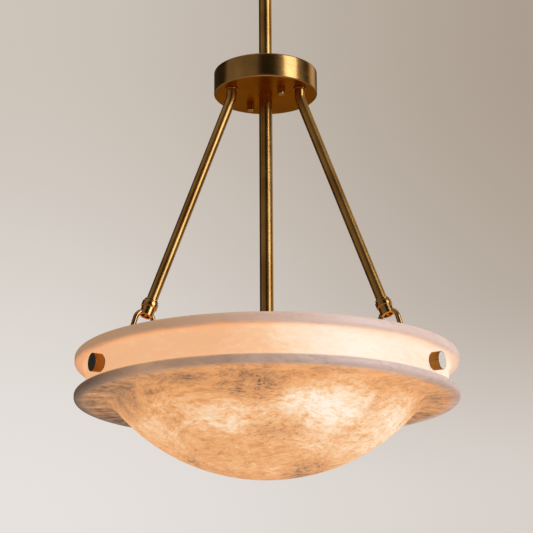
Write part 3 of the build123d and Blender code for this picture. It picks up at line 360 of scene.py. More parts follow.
class Finish:
    """A material, or the world, built node by node."""

    def __init__(self, name, owner=None):
        self.owner = owner or bpy.data.materials.new(name)
        self.owner.use_nodes = True
        self.tree = self.owner.node_tree
        self.tree.nodes.clear()
        self._space = None

    def node(self, kind, settings=None, values=None, output=0):
        """Adds a node, sets it up, fills or links its inputs and gives back one output."""
        made = self.tree.nodes.new(kind)
        for key, value in (settings or {}).items():
            if key == "stops":
                ramp = made.color_ramp
                while len(ramp.elements) < len(value):
                    ramp.elements.new(0.5)
                for element, (place, shade) in zip(ramp.elements, value):
                    element.position = place
                    element.color = (*shade, 1.0)
            else:
                setattr(made, key, value)
        for key, value in (values or {}).items():
            socket = made.inputs[key]
            if isinstance(value, Value):
                value = value.socket
            if isinstance(value, bpy.types.NodeSocket):
                self.tree.links.new(value, socket)
            elif socket.type == "RGBA":
                socket.default_value = (*tuple(value)[:3], 1.0)
            else:
                socket.default_value = value
        return made.outputs[output]

    def value(self, *args, **kwargs):
        """The same, with the output ready for sums."""
        return Value(self, self.node(*args, **kwargs))

    def place(self):
        """Object coordinates of the point, and its x, y and z."""
        if self._space is None:
            space = self.node("ShaderNodeTexCoord", output="Object")
            parts = self.tree.nodes.new("ShaderNodeSeparateXYZ")
            self.tree.links.new(space, parts.inputs[0])
            self._space = (space, *[Value(self, parts.outputs[k]) for k in range(3)])
        return self._space

    def stretched(self, source, scale, move):
        """A pattern's coordinates, scaled axis by axis and moved."""
        return self.node("ShaderNodeMapping", {}, {"Vector": source, "Scale": scale, "Location": move})

    def clouds(self, source, scale, detail=3.0, roughness=0.5, distortion=0.0, move=(0, 0, 0)):
        """Layered noise, about 0.5 on average; `scale` is a number or one for each axis."""
        if isinstance(scale, (tuple, list)):
            source, scale = self.stretched(source, scale, move), 1.0
        elif move != (0, 0, 0):
            source = self.stretched(source, (1, 1, 1), move)
        return self.value("ShaderNodeTexNoise", {}, {
            "Vector": source, "Scale": scale, "Detail": detail, "Roughness": roughness,
            "Distortion": distortion})

    def step(self, value, start, end, low=0.0, high=1.0):
        """Smooth change from `low` at start to `high` at end."""
        return self.value("ShaderNodeMapRange", {"interpolation_type": "SMOOTHSTEP", "clamp": True}, {
            "Value": value, "From Min": start, "From Max": end, "To Min": low, "To Max": high})

    def blend(self, amount, first, second, kind="MIX"):
        """Mix of two colours."""
        settings = {"data_type": "RGBA", "blend_type": kind, "clamp_factor": True}
        return self.node("ShaderNodeMix", settings, {0: amount, 6: first, 7: second}, output=2)

    def ramp(self, value, stops):
        """Colour from a value by stops."""
        return self.node("ShaderNodeValToRGB", {"stops": stops}, {0: value})

    def tinted(self, first, second):
        """Product of two colours."""
        return self.blend(1.0, first, second, "MULTIPLY")

    def bump(self, height, strength, distance):
        """Normal of a surface that a height of 1 lifts by `distance` metres."""
        return self.node("ShaderNodeBump", {}, {
            "Height": height, "Strength": strength, "Distance": distance})

    def spot(self, source, centre, radii, inner=0.25):
        """1 at `centre`, falling smoothly to 0 at the ellipsoid of those radii."""
        away = self.node("ShaderNodeMapping", {"vector_type": "TEXTURE"}, {
            "Vector": source, "Location": centre, "Scale": radii})
        far = self.value("ShaderNodeVectorMath", {"operation": "LENGTH"}, {0: away}, output="Value")
        return self.step(far, inner, 1.0, 1.0, 0.0)

    def spots(self, source, rows, inner=0.25):
        """Sum of spots; a row is a spot's centre, its radii and its weight."""
        parts = [self.spot(source, centre, radii, inner) * weight for centre, radii, weight in rows]
        return sum(parts[1:], parts[0])

    def surface(self, values):
        """Closes the tree with one Principled shader."""
        shader = self.node("ShaderNodeBsdfPrincipled", {}, values)
        end = self.tree.nodes.new("ShaderNodeOutputMaterial")
        self.tree.links.new(shader, end.inputs["Surface"])
        return self.owner


FINISHES = {}


def aged_brass(name, light, dark, lines, rough=0.22, lacquer=0.4):
    """Browned brass under a clear lacquer.

    Soft clouds mix the rubbed and the browned colour, long thin brush lines run round or along
    the piece, and both change the roughness a little. `lines` is round for the drum, along for
    tubes and turned for pieces from a lathe."""
    f = Finish(name)
    space = f.place()[0]
    patina = f.clouds(space, 16.0, 4.0, 0.6, 0.4)
    fine = f.clouds(space, 160.0, 2.0, 0.6)
    if lines == "round":
        brush = f.clouds(space, (18.0, 18.0, 2600.0), 2.0, 0.6)
    else:
        run = f.node("ShaderNodeTexCoord", output="UV")
        scale = (2400.0, 14.0, 1.0) if lines == "along" else (30.0, 2400.0, 1.0)
        brush = f.clouds(run, scale, 2.0, 0.6)
    worn = f.step(patina * 0.7 + brush * 0.3, 0.36, 0.64)
    base = f.blend(worn, dark, light)
    roughness = rough + (brush - 0.5) * 0.14 + (patina - 0.5) * 0.10
    height = brush * 0.6 + fine * 0.4
    return f.surface({
        "Base Color": base, "Metallic": 1.0, "Roughness": roughness, "Coat Weight": lacquer,
        "Coat Roughness": 0.12, "Specular Tint": (1.0, 0.80, 0.50),
        "Normal": f.bump(height, 0.10, 0.0002)})


def plain_metal(name, shade, rough, grain=90.0):
    """Plated steel: one tone with darker spots that are rougher or smoother."""
    f = Finish(name)
    space = f.place()[0]
    spots = f.clouds(space, grain, 4.0, 0.6)
    base = f.blend(f.step(spots, 0.36, 0.62), tuple(0.74 * c for c in shade), shade)
    return f.surface({
        "Base Color": base, "Metallic": 1.0, "Roughness": rough + (spots - 0.5) * 0.2,
        "Normal": f.bump(spots, 0.08, 0.0002)})


def simple(name, shade, rough, glow=None, grain=60.0):
    """Rubber, porcelain and lamp glass: a tone with a faint cloud in it."""
    f = Finish(name)
    space = f.place()[0]
    spots = f.clouds(space, grain, 3.0, 0.6)
    values = {"Base Color": f.blend(spots, tuple(0.86 * c for c in shade), shade),
              "Roughness": rough + (spots - 0.5) * 0.1, "Normal": f.bump(spots, 0.05, 0.0002)}
    if glow:
        values["Emission Color"] = f.blend(spots, tuple(0.9 * c for c in glow), glow)
        values["Emission Strength"] = 1.2
    return f.surface(values)


# Painted light: pools of glow on the dish near the lamps; a row is a centre, radii and weight.
LAMP_GLOW_POOLS = (
    ((0.078, -0.140, -0.765), (0.085, 0.070, 0.038), 0.20),
    ((0.030, -0.160, -0.757), (0.050, 0.050, 0.022), 0.12),
    ((-0.052, -0.130, -0.780), (0.040, 0.040, 0.022), 0.09),
    ((-0.095, -0.125, -0.768), (0.050, 0.050, 0.022), 0.08),
    ((0.160, -0.070, -0.760), (0.050, 0.080, 0.040), 0.16))
SMOKE_SPOTS = (
    ((-0.020, -0.172, -0.752), (0.060, 0.040, 0.022), 0.75),
    ((0.008, -0.122, -0.792), (0.055, 0.030, 0.016), 0.55),
    ((0.049, -0.010, -0.820), (0.045, 0.075, 0.030), 0.85),
    ((-0.100, -0.105, -0.772), (0.020, 0.040, 0.028), 0.42),
    ((0.066, -0.182, -0.740), (0.045, 0.016, 0.010), 0.75),
    ((-0.105, -0.165, -0.742), (0.035, 0.020, 0.012), 0.50),
    ((0.120, -0.115, -0.765), (0.016, 0.020, 0.010), 0.45))


def alabaster(colours):
    """Lit alabaster, its glow painted light.

    The emission stands in for the lamps' light through the stone. The glow is the dish's own level,
    brighter towards +x and with painted pools of light near the lamps, darkened by painted shade
    towards the bottom, the flange and the back, less smoky patches, flecks and drawn-out veins;
    the flange's underside is darkened by painted shade and has streaks that run outwards. The band
    is evener and turns from peach to cream towards +x by painted light, and painted shade darkens
    the lip's underside. Where the stone is thick, at the outer edges of lip and flange, it glows
    less and its grey shows, as a painted shaded copy at the left and a painted lit copy at the
    right."""
    f = Finish("lit_alabaster")
    space, x, y, z = f.place()
    r = (x * x + y * y) ** 0.5

    warp = f.clouds(space, 8.0, 3.0, 0.55)
    sway = f.clouds(space, 11.0, 2.0, 0.5, 0.0, (4.0, 1.0, 2.0))
    pull = f.node("ShaderNodeCombineXYZ", {}, {
        0: (warp - 0.5) * 0.07, 1: (sway - 0.5) * 0.05, 2: (sway - 0.5) * 0.045})
    drift = f.node("ShaderNodeVectorMath", {"operation": "ADD"}, {0: space, 1: pull})
    broad = f.clouds(drift, (10.0, 10.0, 22.0), 4.0, 0.58, 0.3)
    veins = f.clouds(drift, (24.0, 24.0, 92.0), 7.0, 0.66, 0.6, (3.1, 1.7, 0.4))
    fine = f.clouds(drift, (70.0, 70.0, 210.0), 7.0, 0.72, 0.3)
    flecks = f.clouds(drift, (95.0, 95.0, 330.0), 6.0, 0.74, 0.5, (7.3, 2.2, 0.6))
    fleck = f.step(flecks * 0.7 + veins * 0.3, 0.50, 0.60)
    grit = f.clouds(drift, (210.0, 210.0, 620.0), 4.0, 0.7, 0.2, (1.1, 8.2, 3.6))
    lines = f.clouds(drift, (34.0, 34.0, 120.0), 5.0, 0.6, 0.9, (0.3, 5.2, 1.9))
    crack = f.step((lines - 0.5).size(), 0.0, 0.03, 1.0, 0.0)

    outward = f.node("ShaderNodeCombineXYZ", {}, {0: x / r, 1: y / r, 2: r * 3.0})
    streaks = f.clouds(outward, (15.0, 15.0, 2.0), 5.0, 0.62, 0.5)
    # Painted shade under the flange, stronger towards the sides; the stone's outward streaks break it up.
    under = (f.step(z, FLANGE_LOW - 0.012, FLANGE_LOW - 0.002) * f.step(r, 0.176, 0.196)
             * f.step(x.size(), 0.10, 0.17, 0.15, 1.0))
    dish = f.step(z, FLANGE_LOW + 0.002, FLANGE_LOW + 0.007, 1.0, 0.0)

    # Painted pools of light near the lamps.
    lamp_glow_pools = f.spots(drift, LAMP_GLOW_POOLS, 0.1)
    smoke = f.spots(drift, SMOKE_SPOTS)
    wisp = f.step(veins * 0.5 + fine * 0.3 + flecks * 0.2, 0.44, 0.55)
    fan = (f.spot(drift, (-0.160, -0.060, -0.752), (0.040, 0.065, 0.032))
           * f.step(veins * 0.45 + fine * 0.35 + streaks * 0.2, 0.43, 0.55))

    # Painted light: the glow is brighter towards +x, the side of the front lamp. Painted shade darkens it
    # towards the bottom and towards the flange, and a painted shadow of the lamp cluster darkens it towards
    # the back (+y); painted pools of light brighten it near the lamps.
    level = 0.765 + x * 0.50 - f.step(z, -0.785, -0.822, 0.0, 0.16)
    level = level - f.step(z, -0.772, FLANGE_LOW, 0.0, 0.24) - f.step(y, 0.0, 0.080, 0.0, 0.16) + lamp_glow_pools
    grain = (veins - 0.5) * 0.72 + (fine - 0.5) * 1.05 + (grit - 0.5) * 0.60
    level = level + (broad - 0.5) * 0.45 + grain - grain.high(0.0) * 0.40
    level = level - crack * 0.04 - smoke * (0.06 + wisp * 0.30) - fleck * (0.10 + smoke * 0.30)
    # Painted shade under the flange, with the outward streaks.
    level = level - fan * 0.24 - under * (0.09 + (0.54 - streaks) * 0.85)
    # The painted glow's colour, from dark amber to cream by the level.
    glow = f.ramp(level, [
        (0.0, (0.098, 0.054, 0.032)), (0.20, (0.305, 0.144, 0.065)), (0.38, (0.571, 0.270, 0.114)),
        (0.52, (0.775, 0.345, 0.128)), (0.66, (0.875, 0.444, 0.188)), (0.80, colours.glow_amber),
        (0.92, (0.982, 0.760, 0.533)), (1.0, colours.glow_cream)])
    ashen = f.blend((smoke * wisp * 0.32 + fan * 0.25).low(0.6), glow, (0.30, 0.20, 0.14))

    mottle = (broad - 0.5) * 0.24 + (fine - 0.5) * 0.80
    mottle = mottle + (veins - 0.5) * 0.40 + (flecks - 0.5) * 0.70
    # Painted light: band and thick edges lighter towards +x, plus random mottle.
    lit_side_mottle = f.step(x + (broad - 0.5) * 0.10, -0.10, 0.10) * 0.92 + mottle
    band = f.ramp(lit_side_mottle, [
        (0.0, (0.880, 0.480, 0.250)), (0.35, (0.930, 0.560, 0.320)), (0.6, (0.973, 0.690, 0.460)),
        (1.0, (0.970, 0.800, 0.640))])
    # Painted shade under the lip, where the band meets it.
    lip_underside_shade = f.step(r, 0.2165, 0.2215) * f.step(z, FLANGE_TOP + 0.010, FLANGE_TOP + 0.015)
    band = f.blend(lip_underside_shade * 0.8, band, f.tinted(band, (0.86, 0.70, 0.62)))
    lit = f.blend(dish, band, ashen)

    ragged = (broad - 0.5) * 0.010 + (veins - 0.5) * 0.004
    rim_lip = f.step(r, 0.2190, 0.2255) * f.step(z + ragged, LIP_LOW - 0.002, LIP_LOW + 0.003)
    rim_flange = (f.step(r + ragged * 2.0, 0.2100, 0.2262)
                  * f.step(z, FLANGE_TOP + 0.002, FLANGE_TOP - 0.003))
    rim = (rim_lip + rim_flange).low(1.0)
    # Painted light: the edges' grey turns from the shaded copy at the left to the lit copy at the right.
    edge = f.blend(f.step(lit_side_mottle, 0.0, 1.0), colours.stone_edge_shaded, colours.stone_edge_lit)
    edge = f.blend(f.step(veins * 0.5 + flecks * 0.5, 0.51, 0.60) * 0.6, edge, (0.22, 0.165, 0.15))
    # Painted glow of the thick edges, from amber at the left to rose at the right.
    painted_rim_glow = f.blend(f.step(x, -0.14, 0.10), colours.rim_glow_shaded, colours.rim_glow_lit)
    let_through = 0.80 + rim_lip * 0.30 + (broad - 0.5) * 0.9 + (fine - 0.5) * 0.7
    # Painted shade: the flange's edge glows less towards the far left.
    let_through = let_through * (1.0 - rim_flange * f.step(x, -0.205, -0.13, 0.85, 0.0))
    painted_rim_glow = f.blend(let_through, BLACK, painted_rim_glow)
    # The emission is the painted glow; the base colour follows it dimly, and the rims show their grey.
    return f.surface({
        "Base Color": f.blend(rim, f.tinted(lit, (0.24, 0.24, 0.24)), edge),
        "Emission Color": f.blend(rim, f.tinted(lit, (0.90, 0.90, 0.90)), painted_rim_glow),
        "Emission Strength": 1.0,
        "Roughness": 0.42 + (fine - 0.5) * 0.15,
        "Normal": f.bump(veins * 0.5 + fine * 0.5, 0.10, 0.0006)})


def make_finishes(colours):
    """All the finishes, kept by name."""
    light, dark = tuple(colours.brass_light), tuple(colours.brass_dark)
    copper = tuple(colours.copper)
    FINISHES.update(
        round=aged_brass("brass_brushed_round", light, dark, "round"),
        along=aged_brass("brass_drawn", light, dark, "along", 0.27, 0.1),
        turned=aged_brass("brass_turned", light, dark, "turned", 0.15),
        bronze=aged_brass(
            "knob_bronze", (0.40, 0.175, 0.028), (0.22, 0.085, 0.012), "turned", 0.25, 0.2),
        # Brass reddened by a painted reflection of the lit bowl's warm glow.
        copper=aged_brass(
            "brass_hub_underside_glow", copper, tuple(0.7 * c for c in copper), "turned", 0.3, 0.0),
        steel=plain_metal("zinc_steel", (0.60, 0.60, 0.58), 0.34),
        face=plain_metal("knob_face_nickel", tuple(colours.knob_face), 0.13, 420.0),
        stone=alabaster(colours),
        pad=simple("soft_pad", (0.035, 0.034, 0.032), 0.8),
        porcelain=simple("holder_porcelain", (0.80, 0.77, 0.72), 0.16, grain=20.0),
        cap=plain_metal("lamp_cap", (0.72, 0.72, 0.72), 0.3),
        lamp=simple("lamp_glass", (0.95, 0.88, 0.76), 0.3, (1.0, 0.80, 0.54)),
    )


# --- shapes of the pieces ---------------------------------------------------------------------

def tip_frame():
    """Matrix of a socket's mouth on an arm along +X, and the slope of the arm."""
    slope = math.atan2(CUP_RING - ARM_RING, (HUB_LOW - ARM_STUB) - CUP_Z)
    return shift(CUP_RING, 0, CUP_Z) @ tilt(-math.degrees(slope)), slope


def link_frame():
    """Matrix of a link at its eye, for an arm along +X, the link's slope and the eye's height."""
    slope = tip_frame()[1]
    eye_r, eye_z = CUP_RING - EYE_DEPTH * math.sin(slope), CUP_Z + EYE_DEPTH * math.cos(slope)
    lean = math.atan2(FOOT_RING - eye_r, eye_z - BOLT_Z)
    return shift(eye_r, 0, eye_z) @ tilt(-math.degrees(lean)), lean, eye_z


def radial_frame(z):
    """Matrix that lays Z out along +X at height z."""
    return shift(0, 0, z) @ tilt(90)


def bowl_outline(sizes):
    """Stone's section from the pole outside, up round flange, band and lip, and down inside.

    The dish is an arc about a point on the axis, and the hollow is the arc a wall's thickness
    inside it; the rest is straight runs with rounded corners, as in the CAD."""
    R, band, wall, edge = sizes.bowl_radius, sizes.band_radius, sizes.wall, sizes.edge_round
    hollow = DISH_RADIUS - wall
    centre = BOWL_LOW + DISH_RADIUS
    turn = math.asin(DISH_END / DISH_RADIUS)
    angles = np.linspace(0, turn, 60)
    arc = np.stack([np.sin(angles), -np.cos(angles)], axis=1)
    dish = DISH_RADIUS * arc + (0, centre)
    rim = rounded([
        (*dish[-1], 0), (SHOULDER_RING, FLANGE_LOW, 0.0175), (R, FLANGE_LOW, edge),
        (R, FLANGE_TOP, edge), (band, FLANGE_TOP, 0.005), (band, LIP_LOW, 0.005),
        (R, LIP_LOW, edge), (R, LIP_TOP, edge),
        (band - wall, LIP_TOP, 0.0021), (band - wall, FLANGE_LOW + 0.010, 0.007),
        (hollow * math.sin(turn), centre - hollow * math.cos(turn), 0)], 0.12)
    inner = (hollow * arc + (0, centre))[::-1]
    whole = np.concatenate([dish[:-1], divided(rim, 0.004), inner[1:]])
    whole[0, 0] = whole[-1, 0] = 0.0
    return whole


def eased(corners, ease, step=0.4):
    """Outline with the same small round on every inner corner."""
    last = len(corners) - 1
    return rounded([(r, z, 0 if k in (0, last) else ease) for k, (r, z) in enumerate(corners)], step)


def ring_outline(outer, inner, bottom, top, ease=0.0003):
    """Closed outline of a ring, washer or tube, up its outside and down its bore."""
    middle = ((outer + inner) / 2, bottom)
    return eased([middle, (outer, bottom), (outer, top), (inner, top), (inner, bottom), middle], ease)


def cap_nut_outline(radius, height):
    """Cap nut that hangs down from z = 0, round at its closed end."""
    return rounded([
        (0, -height, 0), (radius, -height, radius * 0.3), (radius, 0, 0.0003), (0, 0, 0)], 0.25)


def slotted_cup(outer, inner, height, half, seat, ease=0.0004):
    """Cup of a tip socket as one closed strip.

    Round the axis runs the angle; across it the strip goes up the outside, over the top and
    down the bore. Its lower edge is 0, and inside the two slots, where the distance from the X
    axis is under `half`, it is the slot's round end: seat + sqrt(half^2 - y^2). The edge is
    chamfered by `ease`."""
    edge = math.asin(half / outer)
    free = np.linspace(edge, math.pi - edge, 25)
    gap = np.linspace(-edge, edge, 17)
    angle = np.concatenate([gap, free, gap + math.pi, free + math.pi])
    inside = np.tile(np.repeat([True, False], [len(gap), len(free)]), 2)
    arch = np.sqrt(np.maximum(half**2 - (outer * np.sin(angle)) ** 2, 0))
    low = np.where(inside, seat + arch, 0.0)
    top = np.full(len(angle), height)
    rows = ((inner, top), (inner, low + ease), (inner + ease, low), (outer - ease, low),
            (outer, low + ease), (outer, top))
    columns = [np.stack([r * np.cos(angle), r * np.sin(angle), z], axis=1) for r, z in rows]
    grid = np.stack(columns, axis=1)
    return grid, run_length(grid[len(gap) + 3]), outer * 2 * math.pi


def arm_path():
    """Middle line of an arm along +X: straight down, an arc, straight to the tip."""
    mouth, slope = tip_frame()
    corner_z = HUB_LOW - ARM_STUB
    cut = ARM_BEND * math.tan(slope / 2)
    t = np.linspace(0, slope, 14)
    arc = np.stack([
        ARM_RING + ARM_BEND * (1 - np.cos(t)), np.zeros(14), corner_z + cut - ARM_BEND * np.sin(t)], axis=1)
    end = (mouth @ np.array((0, 0, CUP_HEIGHT + 0.0005, 1.0)))[:3]
    head = np.linspace((ARM_RING, 0, ARM_TOP), arc[0], 4)[:-1]
    return np.concatenate([head, arc, np.linspace(arc[-1], end, 26)[1:]])


def link_surfaces():
    """Bow of round bar and its two eyed feet, for an arm along +X."""
    matrix, lean, eye_z = link_frame()
    legs = {s: (BOLT_Z - eye_z - s * LINK_BEND * math.sin(lean)) / math.cos(lean) + LEG_END
            for s in (-1, 1)}
    t = np.linspace(math.pi, 0, 33)
    arc = np.stack([LINK_BEND * np.cos(t), np.zeros(33), LINK_BEND * np.sin(t) - LINK_BEND], axis=1)
    left = np.linspace((-LINK_BEND, 0, legs[-1]), arc[0], 12)[:-1]
    right = np.linspace(arc[-1], (LINK_BEND, 0, legs[1]), 12)[1:]
    parts = [placed(carried(np.concatenate([left, arc, right]), LINK_BAR, 28), matrix)]
    foot = ring_outline(0.0066, 0.0038, -FOOT_THICK / 2, FOOT_THICK / 2, 0.0006)
    for s in (-1, 1):
        r = FOOT_RING + s * LINK_BEND / math.cos(lean)
        parts.append(placed(turned(foot, 48), shift(r, 0, BOLT_Z) @ tilt(90)))
    return parts


def lamp_outline():
    """Round lamp about Z from its cap: a neck that flares into a ball of 22.5 mm radius."""
    big, neck, centre = 0.0225, 0.0067, 0.0295
    joint = math.radians(52)
    t = np.linspace(-joint, math.pi / 2, 30)
    ball = np.stack([big * np.cos(t), centre + big * np.sin(t)], axis=1)
    s = np.linspace(0, 1, 12)[:-1, None]
    start, goal = np.array((neck, 0.0)), ball[0]
    lead = np.array((math.sin(joint), math.cos(joint)))
    pull = 0.45 * np.linalg.norm(goal - start)
    a, b = start + (0, pull), goal - lead * pull
    flare = (1 - s) ** 3 * start + 3 * (1 - s) ** 2 * s * a + 3 * (1 - s) * s**2 * b + s**3 * goal
    whole = np.concatenate([[(0.0, 0.0)], flare, ball])
    whole[-1, 0] = 0.0
    return whole


# --- operators --------------------------------------------------------------------------------

class PENDANT_OT_finishes(bpy.types.Operator):
    """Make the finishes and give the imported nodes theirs"""
    bl_idname = "pendant.finishes"
    bl_label = "Finishes"

    def execute(self, context):
        make_finishes(context.scene.pendant_colours)
        by_slot = {"aged_brass": "turned", "zinc_steel": "steel", "alabaster": "stone", "soft_pad": "pad",
                   "holder_porcelain": "porcelain", "bulb_cap": "cap", "bulb_glass": "lamp"}
        slots = {row["node"]: row["material_slot"] for row in frame["record"]["subparts"]}
        for name, node in frame["nodes"].items():
            for place in node.material_slots:
                place.material = FINISHES[by_slot[slots[name]]]
        return {"FINISHED"}


class PENDANT_OT_ceiling(bpy.types.Operator):
    """Canopy and the bell collar under it"""
    bl_idname = "pendant.ceiling"
    bl_label = "Canopy and collar"

    def execute(self, context):
        sheet, corner, corner_r, corner_z, hole = 0.0012, 0.023, 0.042, -0.011, 0.022
        t = np.linspace(0, math.pi / 2, 16)
        arc = np.stack([np.cos(t), -np.sin(t)], axis=1)
        outer = corner * arc + (corner_r, corner_z)
        inner = (corner - sheet) * arc + (corner_r, corner_z)
        low = corner_z - corner
        rim = [(corner_r + corner, 0.0), (corner_r + corner - sheet, 0.0)]
        cup = np.concatenate([
            [(hole, low + sheet), (hole, low)], outer[::-1], rim, inner, [(hole, low + sheet)]])
        piece("canopy_cup", [turned(cup, 160)], "ceiling_fixing", "canopy",
              FINISHES["turned"])
        s = np.linspace(0, 1, 14)[:, None]
        low, bend, high = np.array(((0.012, -0.056), (0.0125, -0.0445), (0.0265, -0.043)))
        bell = (1 - s) ** 2 * low + 2 * (1 - s) * s * bend + s**2 * high
        collar = np.concatenate([
            [(STEM_BORE, -0.048), (STEM_BORE, -0.056)], bell, [(0.0265, -0.0394), (0.0261, -0.039)],
            [(0.0112, -0.039), (0.0112, -0.048), (STEM_BORE, -0.048)]])
        piece("bell_collar", [turned(collar, 96)], "pendant", "stem_collar",
              FINISHES["turned"])
        return {"FINISHED"}


class PENDANT_OT_stem(bpy.types.Operator):
    """Stem above the hub, rod below it and the ring round the stem"""
    bl_idname = "pendant.stem"
    bl_label = "Stem and rod"

    def execute(self, context):
        sizes = context.scene.pendant_sizes
        for name, node, radius in (("stem_tube", "stem", sizes.stem_radius),
                                   ("rod_tube", "centre_rod", sizes.rod_radius)):
            outline = divided(ring_outline(radius, radius - 0.0016, *ends(node), 0.0002), 0.01)
            piece(name, [turned(outline, 64)], "pendant", node, FINISHES["along"])
        ring = ring_outline(0.0125, STEM_BORE, *ends("hub_lock_ring"), 0.0008)
        piece("lock_ring", [turned(ring, 72)], "pendant", "hub_lock_ring",
              FINISHES["turned"])
        return {"FINISHED"}


class PENDANT_OT_hub(bpy.types.Operator):
    """Drum, bottom disc, arm seats and cap nuts of the hub"""
    bl_idname = "pendant.hub"
    bl_label = "Hub"

    def execute(self, context):
        R = context.scene.pendant_sizes.hub_radius
        sheet, rod_bore = 0.0015, 0.00825
        drum = rounded([
            (R - sheet, PLATE_TOP, 0), (R, PLATE_TOP, 0.0002), (R, HUB_TOP, 0.0020),
            (STEM_BORE, HUB_TOP, 0.0002), (STEM_BORE, HUB_TOP - sheet, 0),
            (R - sheet, HUB_TOP - sheet, 0.001), (R - sheet, PLATE_TOP, 0)], 0.2)
        piece("hub_drum", [turned(divided(drum, 0.006), 192)], "pendant", "hub_shell",
              FINISHES["round"])
        under = eased([(rod_bore, PLATE_TOP), (rod_bore, HUB_LOW), (R - CHAMFER, HUB_LOW)], 0.0001)
        side = rounded([
            (R - CHAMFER, HUB_LOW, 0), (R, HUB_LOW + CHAMFER, 0.0003), (R, PLATE_TOP, 0),
            (rod_bore, PLATE_TOP, 0)], 0.3)
        piece("hub_disc", [turned(divided(one, 0.006), 192) for one in (under, side)], "pendant",
              "hub_plate", [FINISHES["copper"], FINISHES["round"]], [0, 1])
        seat = turned(ring_outline(0.0078, 0.0064, HUB_LOW - SEAT_HEIGHT, HUB_LOW, 0.0004), 56)
        seats = [placed(seat, spin(angle) @ shift(ARM_RING, 0, 0)) for angle in SIDES.values()]
        piece("arm_seats", seats, "pendant", "arm_collars", FINISHES["turned"])
        nut = turned(cap_nut_outline(0.00465, 0.010), 48)
        nuts = [placed(nut, spin(angle) @ shift(NUT_RING, 0, HUB_LOW)) for angle in NUTS]
        piece("hub_nuts", nuts, "pendant", "hub_cap_nuts", FINISHES["turned"])
        return {"FINISHED"}


class PENDANT_OT_arms(bpy.types.Operator):
    """Three bent arms with the turned sockets on their tips"""
    bl_idname = "pendant.arms"
    bl_label = "Arms and sockets"

    def execute(self, context):
        tube = carried(arm_path(), context.scene.pendant_sizes.arm_radius, 40)
        mouth = tip_frame()[0]
        bore, floor, neck, bead = 0.0064, 0.0060, 0.0075, 0.0095
        upper = turned(eased([
            (floor, 0.0105), (CUP_RADIUS, 0.0105), (CUP_RADIUS, CUP_HEIGHT), (bead, CUP_HEIGHT),
            (bead, 0.0176), (neck, 0.0176), (neck, 0.0188), (CUP_RADIUS, 0.0188),
            (CUP_RADIUS, 0.0208), (bore, 0.0208), (bore, 0.0115), (floor, 0.0115),
            (floor, 0.0105)], 0.00035, 0.5), 64)
        cup = slotted_cup(CUP_RADIUS, 0.0058, CUP_HEIGHT, 0.0040, 0.0044)
        for side, angle in SIDES.items():
            put = spin(angle) @ mouth
            piece(f"arm_tube_{side}", [placed(tube, spin(angle))], "pendant", f"arm_{side}",
                  FINISHES["along"])
            piece(f"socket_{side}", [placed(upper, put), placed(cup, put)], "pendant",
                  f"tip_socket_{side}", FINISHES["turned"])
        return {"FINISHED"}


class PENDANT_OT_links(bpy.types.Operator):
    """Three links that carry the bowl"""
    bl_idname = "pendant.links"
    bl_label = "Links"

    def execute(self, context):
        parts = link_surfaces()
        for side, angle in SIDES.items():
            piece(f"bow_{side}", [placed(part, spin(angle)) for part in parts], f"link_{side}",
                  f"link_{side}", FINISHES["turned"])
        return {"FINISHED"}


class PENDANT_OT_bowl(bpy.types.Operator):
    """Stone bowl with its three knobs"""
    bl_idname = "pendant.bowl"
    bl_label = "Bowl and knobs"

    def execute(self, context):
        sizes = context.scene.pendant_sizes
        piece("stone_bowl", [turned(bowl_outline(sizes), 288)], "bowl", "alabaster_bowl",
              FINISHES["stone"])
        R, start = sizes.knob_radius, sizes.band_radius + KNOB_SEAT
        end, edge = start + KNOB_LENGTH, 0.0006
        side = turned(rounded([
            (0.003, start, 0), (R, start, 0.0004), (R, end, 0.0005), (R - edge, end, 0)], 0.3), 64)
        face = turned(np.array([(R - edge, end), (0, end)]), 64)
        for name, angle in SIDES.items():
            put = spin(angle) @ radial_frame(BOLT_Z)
            piece(f"knob_{name}", [placed(side, put), placed(face, put)], "bowl", f"bowl_knob_{name}",
                  [FINISHES["bronze"], FINISHES["face"]], [0, 1])
        return {"FINISHED"}


class PENDANT_OT_lamps(bpy.types.Operator):
    """Three round lamps on the cluster"""
    bl_idname = "pendant.lamps"
    bl_label = "Lamps"

    def execute(self, context):
        glass = turned(lamp_outline(), 64)
        for number, angle in enumerate(LAMPS, start=1):
            put = spin(angle) @ radial_frame(CLUSTER_Z) @ shift(0, 0, LAMP_RING)
            piece(f"lamp_{number}", [placed(glass, put)], "pendant", f"bulb_glass_{number}",
                  FINISHES["lamp"])
        return {"FINISHED"}


class PENDANT_OT_stage(bpy.types.Operator):
    """Floor, surroundings, key light and the photo's camera"""
    bl_idname = "pendant.stage"
    bl_label = "Stage"

    def execute(self, context):
        scene = context.scene
        colours = scene.pendant_colours
        make_floor(tuple(colours.wall_low))
        scene.world = make_world(colours)
        soft_light("key", (2.54, -1.59, 0.35), (0, 0, -0.7), (1.5, 2.6), 54.0, (0.72, 0.82, 1.0))

        eye = bpy.data.cameras.new("photo_view")
        eye.sensor_width = 36.0
        eye.lens = 111.36
        eye.clip_end = 100.0
        camera = bpy.data.objects.new("photo_view", eye)
        camera.rotation_mode = "XYZ"
        scene.collection.objects.link(camera)
        camera.matrix_world = (Matrix.Translation((0.0, -1.9253, -1.1267))
                               @ Matrix.Rotation(math.radians(90 + 16.173), 4, "X")
                               @ Matrix.Rotation(math.radians(-0.303), 4, "Z"))
        scene.camera = camera
        scene.view_settings.view_transform = "Standard"
        return {"FINISHED"}


